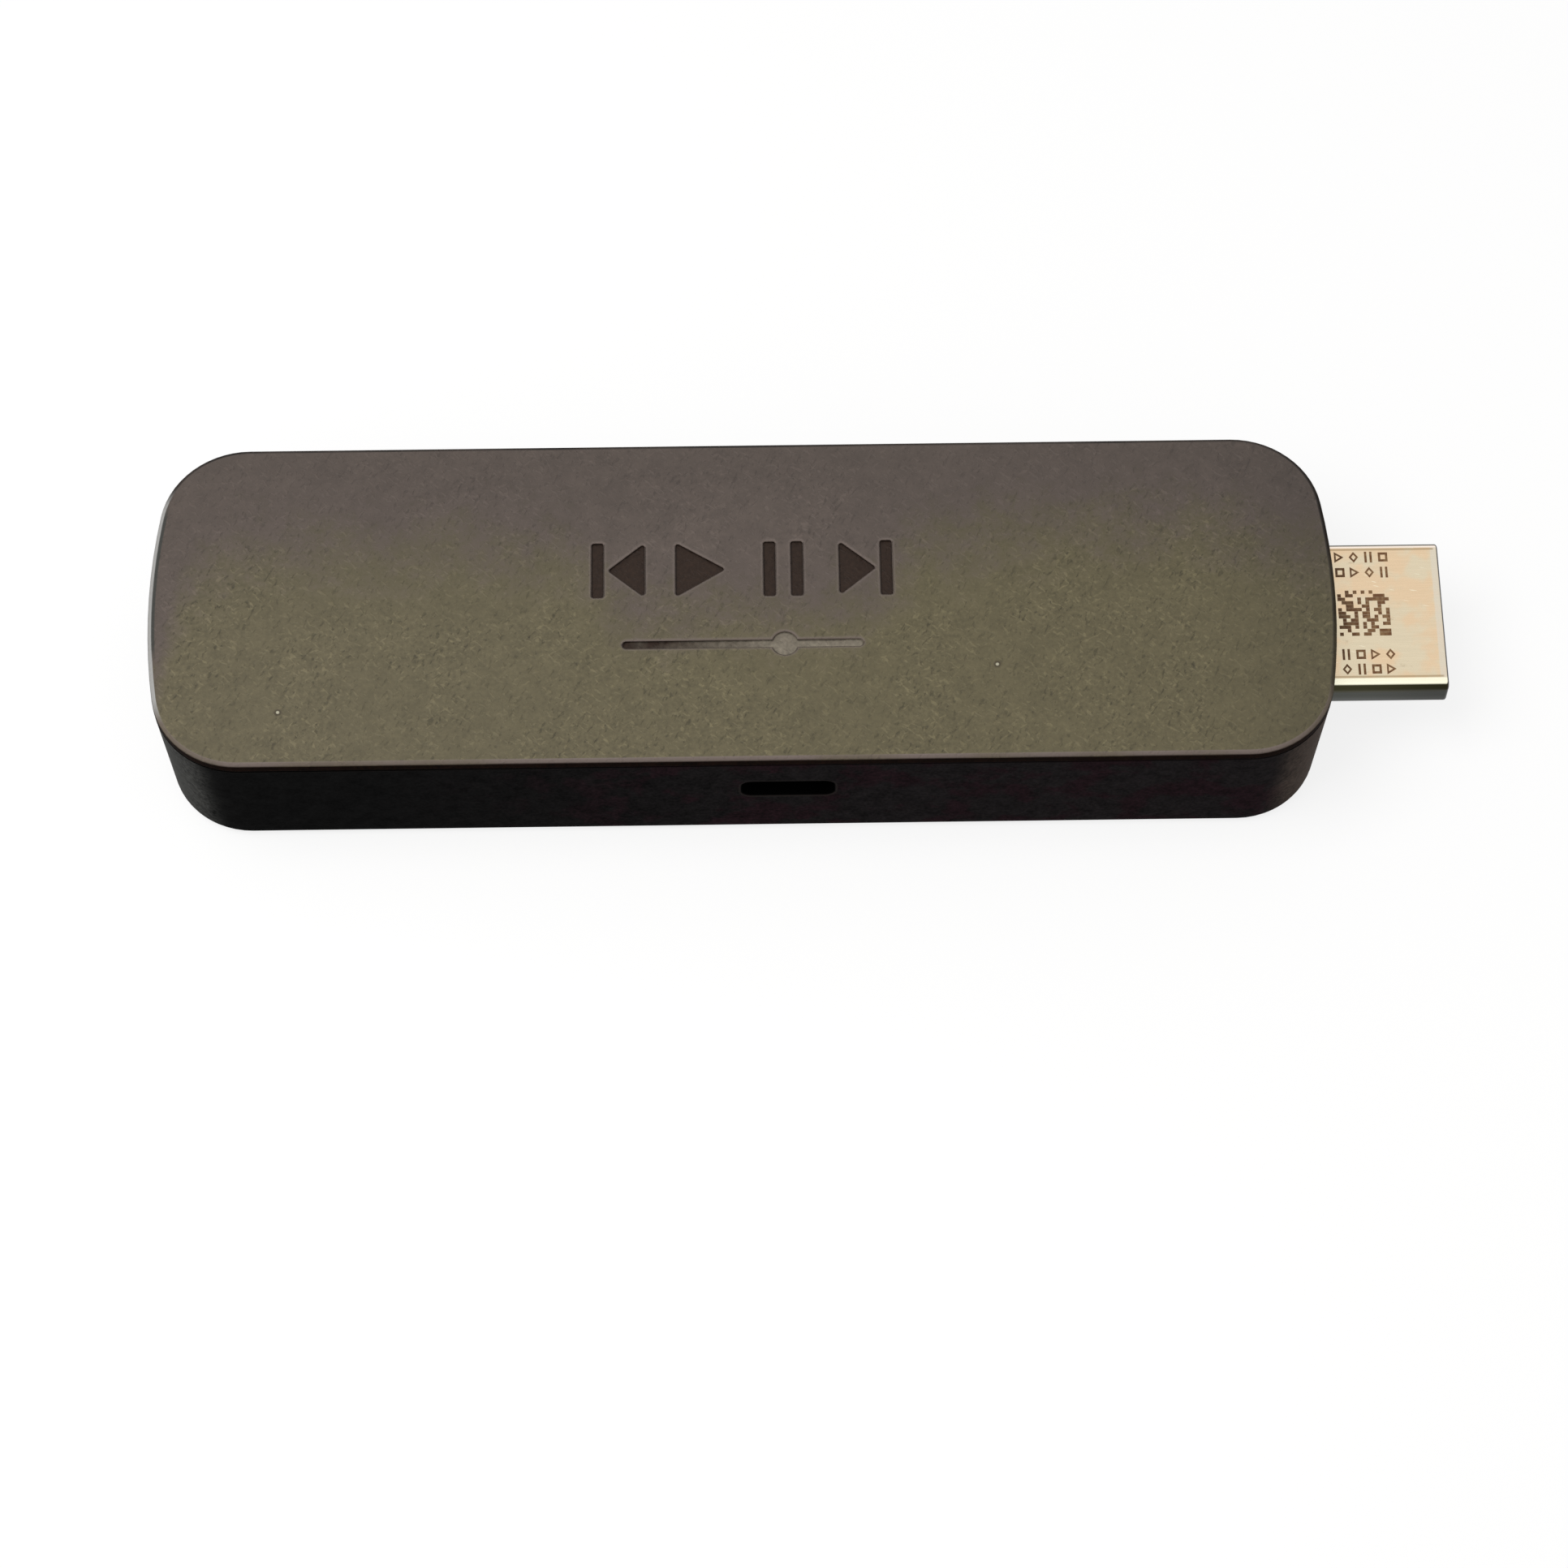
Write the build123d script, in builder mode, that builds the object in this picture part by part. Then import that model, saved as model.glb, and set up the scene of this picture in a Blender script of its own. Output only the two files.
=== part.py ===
from build123d import *
import math
import os

os.makedirs("parts", exist_ok=True)

# A streaming stick: a flat two-part shell, a loaded circuit board between two heat spreaders, and a
# 19-contact video plug that stands out of one end. Sizes are in millimetres. X runs towards the plug,
# -Y is the side with the power socket, Z is up, and the origin is under the middle of the body.

# Body
body_length = 99.0
body_width = 30.0
body_height = 14.0
corner_radius = 7.4
end_bow = 2.0  # how far each end bulges past a straight one
draft = 0.5  # how much each side of the housing draws in towards the bottom
bottom_edge_radius = 1.3

# Shell walls and the seam between the two halves
wall = 1.5
floor_thickness = 1.4
cover_thickness = 1.3
cover_rim_height = 1.05
cover_edge_radius = 0.4
seam_gap = 0.25
lip_width = 0.8
skirt_clearance = 0.1
skirt_thickness = 1.0
skirt_depth = 1.5
skirt_end_gap = 0.2

# Snap arms of the cover, two near the middle and two near the ends of each long side
snap_middle_distance = 15.0
snap_end_distance = 13.5
snap_width = 5.0
snap_thickness = 0.8
snap_length = 3.8
snap_gap = 0.1
hook_depth = 0.5
hook_height = 0.8
hook_land = 0.2
pocket_clearance = 0.1

# Pressed marks on the cover: previous, play, pause and next above a bar with a dot
mark_depth = 0.25
mark_height = 5.2
mark_spacing = 6.9
mark_center_y = 2.9
mark_arrow_width = 3.1
mark_bar_width = 1.0
mark_bar_gap = 0.35
mark_play_width = 4.2
mark_pause_gap = 1.3
mark_corner_radius = 0.2
mark_edge_radius = 0.12
track_length = 20.0
track_width = 0.7
track_center_y = -4.2
track_dot_radius = 1.1
track_dot_x = 3.5

# Circuit board, its four posts and the ledges under its long edges
board_drop = 1.1  # how far the board's underside lies below the middle of the body's height
board_thickness = 1.0
board_clearance = 0.4
post_end_distance = 11.5
post_side_distance = 5.5
post_radius = 2.0
pin_radius = 0.8
pin_height = 0.9
pin_clearance = 0.1
pin_end_clearance = 0.3
post_clearance = 0.05
ledge_spacing = 50.0
ledge_length = 6.0
ledge_reach = 1.0

# Heat spreaders, their adhesive tapes and the thermal pads
tape_thickness = 0.1
tape_margin = 1.0
upper_spreader_thickness = 2.0
lower_spreader_thickness = 1.2
spreader_side_gap = 2.0
spreader_post_gap = 2.0
spreader_corner_radius = 2.0
spreader_chamfer = 0.2
pad_margin = 2.0
chip_pad_margin = 1.0

# Shield cans, two on the board and one under it
shield_height = 2.0
shield_sheet = 0.2
shield_lid_gap = 0.05
shield_flange = 0.8
shield_bridge_width = 1.2
shield_lid_skirt = 1.2
shield_corner_radius = 0.5
shield_edge_margin = 1.4
shield_socket_gap = 1.2
shield_post_gap = 4.0
shield_spacing = 2.0
processor_shield_length = 36.0
radio_shield_length = 20.0
power_shield_length = 40.0
power_shield_width = 19.0

# Chips
processor_size = 13.0
processor_height = 1.1
memory_length = 10.0
memory_width = 12.0
memory_height = 0.9
storage_length = 13.0
storage_width = 11.5
storage_height = 0.9
power_chip_size = 6.0
power_chip_height = 0.8
radio_chip_size = 8.0
radio_chip_height = 0.9
amplifier_size = 2.5
amplifier_height = 0.7
amplifier_spacing = 6.0
chip_spacing = 1.6
substrate_thickness = 0.3
substrate_margin = 0.2
corner_dot_radius = 0.25
corner_dot_depth = 0.05
corner_dot_inset = 0.6

# Small parts on the board
crystal_length = 2.5
crystal_width = 2.0
crystal_height = 0.6
inductor_size = 2.5
inductor_height = 1.2
inductor_spacing = 3.6
end_cap_length = 0.25
end_cap_rise = 0.04
bulk_capacitor_length = 2.0
bulk_capacitor_width = 1.25
bulk_capacitor_height = 1.2
bulk_capacitor_spacing = 2.4
bulk_capacitor_count = 4
small_capacitor_length = 1.0
small_capacitor_width = 0.5
small_capacitor_height = 0.5
small_capacitor_spacing = 1.5
small_capacitor_rows = 4
filter_length = 1.25
filter_width = 1.0
filter_height = 0.6
filter_spacing = 2.4
filter_count = 4
filter_gap = 0.8
fuse_length = 1.6
fuse_width = 0.8
fuse_height = 0.6
input_part_gap = 2.0

# Video plug: wide at the top, with a shoulder down to a narrower foot
plug_protrusion = 9.5
plug_inner_length = 6.5
plug_width = 13.9
plug_height = 4.45
plug_side_height = 2.5
plug_shoulder_height = 0.75
plug_shoulder_width = 1.15
plug_edge_radius = 0.6
plug_shoulder_radius = 0.4
plug_tip_radius = 0.25
plug_sheet = 0.3
plug_rise = 0.8  # height of the plug's axis above the board's top
plug_window_clearance = 0.12
plug_notch_clearance = 0.2
plug_fit = 0.02
detent_length = 2.0
detent_width = 1.4
detent_spacing = 5.4
detent_tip_distance = 5.0
roll_seam_width = 0.08
roll_seam_depth = 0.1
roll_seam_tail_length = 1.6
roll_seam_tail_width = 0.9
roll_seam_tail_flare = 0.3
leg_length = 1.2
leg_offset = 0.4
leg_rise = 0.6
leg_board_margin = 0.7
leg_drop = 0.5
leg_clearance = 0.1
leg_bend_radius = 0.3

# Ribs of the shell that hold the plug from below and from above
rib_offset = 2.0
rib_thickness = 1.0
rib_width = 8.0
rib_clearance = 0.05

# Plug insulator and its two rows of contacts
nose_recess = 0.9
slot_side_wall = 1.85
slot_height = 1.9
slot_depth = 7.0
slot_end_margin = 0.6
tail_block_length = 1.5
tail_block_margin = 0.45
contact_width = 0.45
contact_thickness = 0.2
contact_proud = 0.05
contact_clearance = 0.02
contact_nose_gap = 0.5
contact_drop_gap = 0.4
contact_foot_length = 1.4
contact_bend_radius = 0.25
upper_contact_count = 10
lower_contact_count = 9

# Power socket behind a slot in the front side
socket_x = 3.6
socket_width = 7.5
socket_height = 2.6
socket_depth = 5.2
socket_sheet = 0.25
socket_corner_radius = 0.5
socket_chamfer = 0.7
socket_mouth_gap = 0.1
socket_slot_side_clearance = 0.12
socket_slot_clearance = 0.05
socket_slot_radius = 0.9
socket_slot_chamfer = 0.12
socket_fit = 0.02
socket_back_thickness = 1.5
socket_tongue_width = 3.8
socket_tongue_thickness = 0.6
socket_tongue_length = 2.8
socket_ear_length = 1.2
socket_ear_width = 0.9
socket_ear_spacing = 2.8
socket_contact_count = 5
socket_contact_margin = 0.6
socket_contact_width = 0.35
socket_contact_thickness = 0.12
socket_contact_tip_gap = 0.2
socket_contact_drop_gap = 0.3
socket_contact_foot_length = 0.8
socket_contact_bend_radius = 0.15

# Antennas on the end of the board away from the plug
antenna_sheet = 0.3
antenna_height = 3.2
antenna_length = 3.4
antenna_width = 7.0
antenna_spacing = 9.6
antenna_end_margin = 0.9
antenna_leg_width = 0.9
antenna_leg_spacing = 2.4
antenna_foot_length = 1.2
antenna_bend_radius = 0.4
remote_antenna_length = 3.2
remote_antenna_width = 1.6
remote_antenna_height = 1.1

# Levels, from the bottom up
rim_z = body_height - cover_rim_height
seam_z = rim_z - seam_gap
cover_inner_z = body_height - cover_thickness
skirt_z = seam_z - skirt_depth
rebate_z = skirt_z - skirt_end_gap
snap_z = cover_inner_z - snap_length
lower_spreader_z = floor_thickness + tape_thickness
board_z = body_height / 2 - board_drop
post_height = board_z - floor_thickness
board_top = board_z + board_thickness
plug_z = board_top + plug_rise
plug_top = plug_z + plug_height / 2
plug_bottom = plug_z - plug_height / 2
socket_z = board_top + socket_height / 2
upper_spreader_z = cover_inner_z - tape_thickness - upper_spreader_thickness
draft_angle = math.degrees(math.atan(draft / seam_z))


def draft_at(z):
    """How far the housing's side has drawn in at the level z."""
    return draft * (1 - z / seam_z)


# Places in plan
half_length = body_length / 2
half_width = body_width / 2
post_x = half_length - post_end_distance
post_y = half_width - post_side_distance
board_inset = wall + draft + board_clearance
board_half_width = half_width - board_inset
skirt_inset = lip_width + skirt_clearance
snap_outer_y = half_width - wall - draft_at(snap_z) - snap_gap
snap_inner_y = snap_outer_y - snap_thickness
snap_end_x = half_length - snap_end_distance
snap_places = [-snap_end_x, -snap_middle_distance, snap_middle_distance, snap_end_x]
plug_rear_x = half_length - plug_inner_length
plug_tip_x = half_length + plug_protrusion
plug_foot_width = plug_width - 2 * plug_shoulder_width
tail_block_x = plug_rear_x - tail_block_length
contact_drop_x = tail_block_x - contact_drop_gap
notch_x = contact_drop_x - contact_thickness / 2 - plug_notch_clearance
leg_x = plug_rear_x + leg_offset + leg_length / 2
leg_y = plug_width / 2 + plug_notch_clearance + leg_board_margin
rib_x = plug_rear_x + rib_offset
slot_width = plug_width - 2 * slot_side_wall
contact_pitch = (slot_width - 2 * slot_end_margin) / (upper_contact_count - 1)
contact_level = slot_height / 2 - contact_proud + contact_thickness / 2
socket_front_y = -(half_width - wall - draft_at(board_top) - socket_mouth_gap)
socket_rear_y = socket_front_y + socket_depth
socket_half_reach = socket_width / 2 + socket_ear_width
spreader_length = 2 * (post_x - post_radius - spreader_post_gap)
spreader_width = 2 * (snap_inner_y - spreader_side_gap)
upper_shield_front_y = socket_rear_y + shield_socket_gap
upper_shield_back_y = board_half_width - shield_edge_margin
upper_shield_width = upper_shield_back_y - upper_shield_front_y
upper_shield_y = (upper_shield_front_y + upper_shield_back_y) / 2
radio_shield_start_x = -(post_x - post_radius - shield_post_gap)
radio_shield_x = radio_shield_start_x + radio_shield_length / 2
processor_shield_start_x = radio_shield_start_x + radio_shield_length + shield_spacing
processor_shield_x = processor_shield_start_x + processor_shield_length / 2
power_shield_x = processor_shield_start_x + processor_shield_length - power_shield_length / 2


def plan_outline(inset):
    """The body's outline seen from above, moved inwards by inset."""
    end_radius = (half_width**2 + end_bow**2) / (2 * end_bow)
    end_center_x = half_length - end_radius
    side_y = half_width - inset
    tip_x = half_length - inset
    corner_x = end_center_x + math.sqrt((end_radius - inset) ** 2 - side_y**2)
    with BuildSketch() as outline:
        with BuildLine():
            back = Line((-corner_x, side_y), (corner_x, side_y))
            plug_end = ThreePointArc(back @ 1, (tip_x, 0), (corner_x, -side_y))
            front = Line(plug_end @ 1, (-corner_x, -side_y))
            ThreePointArc(front @ 1, (-tip_x, 0), back @ 0)
        make_face()
        fillet(outline.vertices(), corner_radius - inset)
    return outline.sketch


def board_post_circles(radius):
    """A circle of the given radius at each of the four board posts."""
    with BuildSketch() as circles:
        with GridLocations(2 * post_x, 2 * post_y, 2, 2):
            Circle(radius)
    return circles.sketch


def bent_strip(points, thickness, bend_radius):
    """The edge-on shape of a sheet metal strip that is bent at its inner points."""
    with BuildSketch() as strip:
        with BuildLine():
            FilletPolyline(*points, radius=bend_radius)
        trace(line_width=thickness)
    return strip.sketch


def plug_section(inset):
    """The plug's cross-section about its axis, moved inwards by inset."""
    top = plug_height / 2
    side = plug_width / 2
    foot = plug_foot_width / 2
    shoulder = top - plug_side_height
    with BuildSketch() as section:
        with BuildLine():
            Polyline(
                (-side, top),
                (side, top),
                (side, shoulder),
                (foot, shoulder - plug_shoulder_height),
                (foot, -top),
                (-foot, -top),
                (-foot, shoulder - plug_shoulder_height),
                (-side, shoulder),
                close=True,
            )
        make_face()
        fillet(section.vertices().group_by(Axis.Y)[-1], plug_edge_radius)
        fillet(section.vertices().filter_by_position(Axis.Y, -top, shoulder), plug_shoulder_radius)
        if inset:
            offset(amount=-inset)
    return section.sketch


def plug_plane(x):
    """The plane square to the plug's axis at x, with local X along the body's Y."""
    return Plane(origin=(x, 0, plug_z), x_dir=(0, 1, 0), z_dir=(1, 0, 0))


def socket_section(inset):
    """The power socket's cross-section about its axis: flat on top, its lower corners cut off."""
    side = socket_width / 2
    top = socket_height / 2
    with BuildSketch() as section:
        with BuildLine():
            Polyline(
                (-side, top),
                (side, top),
                (side, socket_chamfer - top),
                (side - socket_chamfer, -top),
                (socket_chamfer - side, -top),
                (-side, socket_chamfer - top),
                close=True,
            )
        make_face()
        fillet(section.vertices(), socket_corner_radius)
        if inset:
            offset(amount=-inset)
    return section.sketch


def socket_plane(y):
    """The plane square to the power socket's axis at y, facing out of the front side."""
    return Plane(origin=(socket_x, y, socket_z), x_dir=(1, 0, 0), z_dir=(0, -1, 0))


def arrow_head(width):
    """A triangle that points to +X, as high as the marks are."""
    with BuildSketch() as head:
        with BuildLine():
            Polyline(
                (-width / 2, mark_height / 2),
                (width / 2, 0),
                (-width / 2, -mark_height / 2),
                close=True,
            )
        make_face()
        fillet(head.vertices(), mark_corner_radius)
    return head.sketch


def skip_mark():
    """An arrow head that runs against a bar, pointing to +X."""
    total_width = mark_arrow_width + mark_bar_gap + mark_bar_width
    with BuildSketch() as mark:
        with Locations(((mark_arrow_width - total_width) / 2, 0)):
            add(arrow_head(mark_arrow_width))
        with Locations(((total_width - mark_bar_width) / 2, 0)):
            RectangleRounded(mark_bar_width, mark_height, mark_corner_radius)
    return mark.sketch


def cover_marks():
    """Previous, play, pause and next in a row, above a thin bar with a dot on it."""
    with BuildSketch() as marks:
        with Locations((1.5 * mark_spacing, mark_center_y)):
            add(skip_mark())
        with Locations((-1.5 * mark_spacing, mark_center_y)):
            add(mirror(skip_mark(), about=Plane.YZ, mode=Mode.PRIVATE))
        with Locations((-mark_spacing / 2, mark_center_y)):
            add(arrow_head(mark_play_width))
        with Locations((mark_spacing / 2, mark_center_y)):
            with GridLocations(mark_bar_width + mark_pause_gap, 0, 2, 1):
                RectangleRounded(mark_bar_width, mark_height, mark_corner_radius)
        with Locations((0, track_center_y)):
            SlotOverall(track_length, track_width)
        with Locations((track_dot_x, track_center_y)):
            Circle(track_dot_radius)
    return marks.sketch


def save_piece(piece, name):
    piece.part.label = name
    export_step(piece.part, f"parts/{name}.step")


# Lower housing: a tray with drafted sides, a rebate for the cover, posts, ledges and snap pockets
with BuildPart() as lower_housing:
    with BuildSketch():
        add(plan_outline(draft))
    extrude(amount=seam_z, taper=-draft_angle)
    fillet(lower_housing.edges().group_by(Axis.Z)[0], bottom_edge_radius)
    with BuildSketch(Plane.XY.offset(floor_thickness)):
        add(plan_outline(wall + draft_at(floor_thickness)))
    extrude(amount=seam_z - floor_thickness, taper=-draft_angle, mode=Mode.SUBTRACT)
    with BuildSketch(Plane.XY.offset(rebate_z)):
        add(plan_outline(lip_width))
    extrude(amount=seam_z - rebate_z, mode=Mode.SUBTRACT)

    # Posts with the pins that locate the board
    with BuildSketch(Plane.XY.offset(floor_thickness)):
        add(board_post_circles(post_radius))
    extrude(amount=post_height)
    with BuildSketch(Plane.XY.offset(board_z)):
        add(board_post_circles(pin_radius))
    extrude(amount=board_thickness + pin_height)

    # Ledges that grow out of the long walls and carry the board's edges
    ledge_inner_y = board_half_width - ledge_reach
    ledge_outer_y = half_width - draft - wall / 2
    with BuildSketch(Plane.XY.offset(floor_thickness)):
        with GridLocations(ledge_spacing, ledge_inner_y + ledge_outer_y, 2, 2):
            Rectangle(ledge_length, ledge_outer_y - ledge_inner_y)
    extrude(amount=post_height)

    # Rib under the plug
    with BuildSketch(Plane.XY.offset(floor_thickness)):
        with Locations((rib_x, 0)):
            Rectangle(rib_thickness, rib_width)
    extrude(amount=plug_bottom - rib_clearance - floor_thickness)

    # Pockets for the hooks of the snap arms
    pocket_inner_y = snap_outer_y - snap_gap
    pocket_outer_y = snap_outer_y + hook_depth + pocket_clearance
    pocket_middle_y = (pocket_inner_y + pocket_outer_y) / 2
    with BuildSketch(Plane.XY.offset(snap_z - pocket_clearance)):
        with Locations(*[(x, y) for x in snap_places for y in (-pocket_middle_y, pocket_middle_y)]):
            Rectangle(snap_width + 2 * pocket_clearance, pocket_outer_y - pocket_inner_y)
    extrude(amount=hook_height + 2 * pocket_clearance, mode=Mode.SUBTRACT)

    # Window for the plug in the end wall
    with BuildSketch(plug_plane(half_length - end_bow - draft - wall)):
        add(plug_section(-plug_window_clearance))
    extrude(amount=end_bow + draft + wall, mode=Mode.SUBTRACT)

    # Slot for the power plug in the front wall, with a small lead-in
    with BuildSketch(socket_plane(-half_width)):
        RectangleRounded(
            socket_width + 2 * socket_slot_side_clearance,
            socket_height + 2 * socket_slot_clearance,
            socket_slot_radius,
        )
    extrude(amount=-(half_width + socket_front_y), mode=Mode.SUBTRACT)
    slot_rim_y = -(half_width - draft_at(board_top) - wall / 4)
    slot_rim = lower_housing.edges(Select.LAST).filter_by_position(Axis.Y, -half_width, slot_rim_y)
    chamfer(slot_rim, socket_slot_chamfer)
save_piece(lower_housing, "lower_housing")

# Top cover: a plate with a rounded edge, a skirt inside the housing's lip, snap arms and posts
with BuildPart() as top_cover:
    with BuildSketch(Plane.XY.offset(rim_z)):
        add(plan_outline(0))
    extrude(amount=cover_rim_height)
    fillet(top_cover.edges().group_by(Axis.Z)[-1], cover_edge_radius)
    with BuildSketch(Plane.XY.offset(skirt_z)):
        add(plan_outline(skirt_inset))
    extrude(amount=rim_z - skirt_z)
    with BuildSketch(Plane.XY.offset(skirt_z)):
        add(plan_outline(skirt_inset + skirt_thickness))
    extrude(amount=cover_inner_z - skirt_z, mode=Mode.SUBTRACT)

    # Snap arms with hooks that reach into the housing's pockets
    with BuildSketch(Plane.XY.offset(snap_z)):
        arm_middle_y = (snap_inner_y + snap_outer_y) / 2
        with Locations(*[(x, y) for x in snap_places for y in (-arm_middle_y, arm_middle_y)]):
            Rectangle(snap_width, snap_thickness)
    extrude(amount=snap_length)
    with BuildSketch(*[Plane.YZ.offset(x) for x in snap_places]):
        with BuildLine():
            Polyline(
                (snap_inner_y, snap_z),
                (snap_outer_y, snap_z),
                (snap_outer_y + hook_depth, snap_z + hook_height - hook_land),
                (snap_outer_y + hook_depth, snap_z + hook_height),
                (snap_inner_y, snap_z + hook_height),
                close=True,
            )
        make_face()
        mirror(about=Plane.YZ)
    extrude(amount=snap_width / 2, both=True)

    # Posts that press on the board over the housing's pins
    with BuildSketch(Plane.XY.offset(board_top + post_clearance)):
        add(board_post_circles(post_radius))
    extrude(amount=cover_inner_z - board_top - post_clearance)
    with BuildSketch(Plane.XY.offset(board_top)):
        add(board_post_circles(pin_radius + pin_clearance))
    extrude(amount=pin_height + pin_end_clearance, mode=Mode.SUBTRACT)

    # Rib over the plug
    with BuildSketch(Plane.XY.offset(plug_top + rib_clearance)):
        with Locations((rib_x, 0)):
            Rectangle(rib_thickness, rib_width)
    extrude(amount=cover_inner_z - plug_top - rib_clearance)

    # Marks pressed into the top, their upper edges rounded over
    with BuildSketch(Plane.XY.offset(body_height)):
        add(cover_marks())
    extrude(amount=-mark_depth, mode=Mode.SUBTRACT)
    fillet(top_cover.edges(Select.LAST).group_by(Axis.Z)[-1], mark_edge_radius)
save_piece(top_cover, "top_cover")

# Circuit board with a notch for the plug, holes for the pins and slots for the plug's legs
with BuildPart() as main_board:
    with BuildSketch(Plane.XY.offset(board_z)):
        add(plan_outline(board_inset))
        with Locations(((notch_x + half_length) / 2, 0)):
            Rectangle(half_length - notch_x, plug_width + 2 * plug_notch_clearance, mode=Mode.SUBTRACT)
        add(board_post_circles(pin_radius + pin_clearance), mode=Mode.SUBTRACT)
        with Locations((leg_x, leg_y), (leg_x, -leg_y)):
            Rectangle(leg_length + 2 * leg_clearance, plug_sheet + 2 * leg_clearance, mode=Mode.SUBTRACT)
    extrude(amount=board_thickness)
save_piece(main_board, "main_board")


def spreader(z, thickness):
    """A flat aluminium plate between the posts, its edges broken."""
    with BuildPart() as plate:
        with BuildSketch(Plane.XY.offset(z)):
            RectangleRounded(spreader_length, spreader_width, spreader_corner_radius)
        extrude(amount=thickness)
        chamfer(plate.edges().group_by(Axis.Z)[0], spreader_chamfer)
        chamfer(plate.edges().group_by(Axis.Z)[-1], spreader_chamfer)
    return plate


def flat_pad(x, y, z, length, width, thickness):
    """A sheet of tape or of soft thermal pad, its lower face at z."""
    with BuildPart() as pad:
        with BuildSketch(Plane.XY.offset(z)):
            with Locations((x, y)):
                Rectangle(length, width)
        extrude(amount=thickness)
    return pad


# Heat spreaders and the tapes that hold them to the shell
tape_length = spreader_length - 2 * tape_margin
tape_width = spreader_width - 2 * tape_margin
save_piece(spreader(upper_spreader_z, upper_spreader_thickness), "top_spreader")
save_piece(spreader(lower_spreader_z, lower_spreader_thickness), "bottom_spreader")
save_piece(
    flat_pad(0, 0, cover_inner_z - tape_thickness, tape_length, tape_width, tape_thickness),
    "top_spreader_tape",
)
save_piece(
    flat_pad(0, 0, floor_thickness, tape_length, tape_width, tape_thickness),
    "bottom_spreader_tape",
)

# Thermal pads: from the shield lids to the spreaders, and from the processor to its lid
upper_pad_z = board_top + shield_height
upper_pad_width = upper_shield_width - 2 * pad_margin
lower_pad_z = lower_spreader_z + lower_spreader_thickness
processor_x = processor_shield_x - (chip_spacing + memory_length) / 2
save_piece(
    flat_pad(
        processor_shield_x,
        upper_shield_y,
        upper_pad_z,
        processor_shield_length - 2 * pad_margin,
        upper_pad_width,
        upper_spreader_z - upper_pad_z,
    ),
    "processor_gap_pad",
)
save_piece(
    flat_pad(
        radio_shield_x,
        upper_shield_y,
        upper_pad_z,
        radio_shield_length - 2 * pad_margin,
        upper_pad_width,
        upper_spreader_z - upper_pad_z,
    ),
    "radio_gap_pad",
)
save_piece(
    flat_pad(
        power_shield_x,
        0,
        lower_pad_z,
        power_shield_length - 2 * pad_margin,
        power_shield_width - 2 * pad_margin,
        board_z - shield_height - lower_pad_z,
    ),
    "power_gap_pad",
)
save_piece(
    flat_pad(
        processor_x,
        upper_shield_y,
        board_top + processor_height,
        processor_size - 2 * chip_pad_margin,
        processor_size - 2 * chip_pad_margin,
        shield_height - shield_sheet - processor_height,
    ),
    "processor_thermal_pad",
)


def over_board(x, y):
    """The plane on the board's top at x, y, facing up."""
    return Plane(origin=(x, y, board_top), x_dir=(1, 0, 0), z_dir=(0, 0, 1))


def under_board(x, y):
    """The plane on the board's underside at x, y, facing down."""
    return Plane(origin=(x, y, board_z), x_dir=(1, 0, 0), z_dir=(0, 0, -1))


def shield_frame(base, length, width, bridge_offset=0):
    """A stamped fence with an inward flange that carries the lid, and one bridge across its opening."""
    fence_height = shield_height - shield_sheet
    with BuildPart() as frame:
        with BuildSketch(base):
            RectangleRounded(length, width, shield_corner_radius)
        extrude(amount=fence_height)
        with BuildSketch(base):
            RectangleRounded(
                length - 2 * shield_sheet,
                width - 2 * shield_sheet,
                shield_corner_radius - shield_sheet,
            )
        extrude(amount=fence_height - shield_sheet, mode=Mode.SUBTRACT)
        with BuildSketch(base):
            Rectangle(length - 2 * shield_flange, width - 2 * shield_flange)
            with Locations((bridge_offset, 0)):
                Rectangle(shield_bridge_width, width, mode=Mode.SUBTRACT)
        extrude(amount=fence_height, mode=Mode.SUBTRACT)
    return frame


def shield_lid(base, length, width):
    """A shallow stamped lid that slips over a shield frame."""
    inner_radius = shield_corner_radius + shield_lid_gap
    inner_length = length + 2 * shield_lid_gap
    inner_width = width + 2 * shield_lid_gap
    rim = base.offset(shield_height - shield_lid_skirt)
    with BuildPart() as lid:
        with BuildSketch(rim):
            RectangleRounded(
                inner_length + 2 * shield_sheet,
                inner_width + 2 * shield_sheet,
                inner_radius + shield_sheet,
            )
        extrude(amount=shield_lid_skirt)
        with BuildSketch(rim):
            RectangleRounded(inner_length, inner_width, inner_radius)
        extrude(amount=shield_lid_skirt - shield_sheet, mode=Mode.SUBTRACT)
    return lid


# Shield cans; the processor shield's bridge crosses between the processor and the memory
chip_gap_offset = (processor_size - memory_length) / 2
processor_shield = (
    over_board(processor_shield_x, upper_shield_y),
    processor_shield_length,
    upper_shield_width,
)
radio_shield = (over_board(radio_shield_x, upper_shield_y), radio_shield_length, upper_shield_width)
power_shield = (under_board(power_shield_x, 0), power_shield_length, power_shield_width)
save_piece(shield_frame(*processor_shield, chip_gap_offset), "processor_shield_frame")
save_piece(shield_lid(*processor_shield), "processor_shield_lid")
save_piece(shield_frame(*radio_shield), "radio_shield_frame")
save_piece(shield_lid(*radio_shield), "radio_shield_lid")
save_piece(shield_frame(*power_shield), "power_shield_frame")
save_piece(shield_lid(*power_shield), "power_shield_lid")


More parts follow.
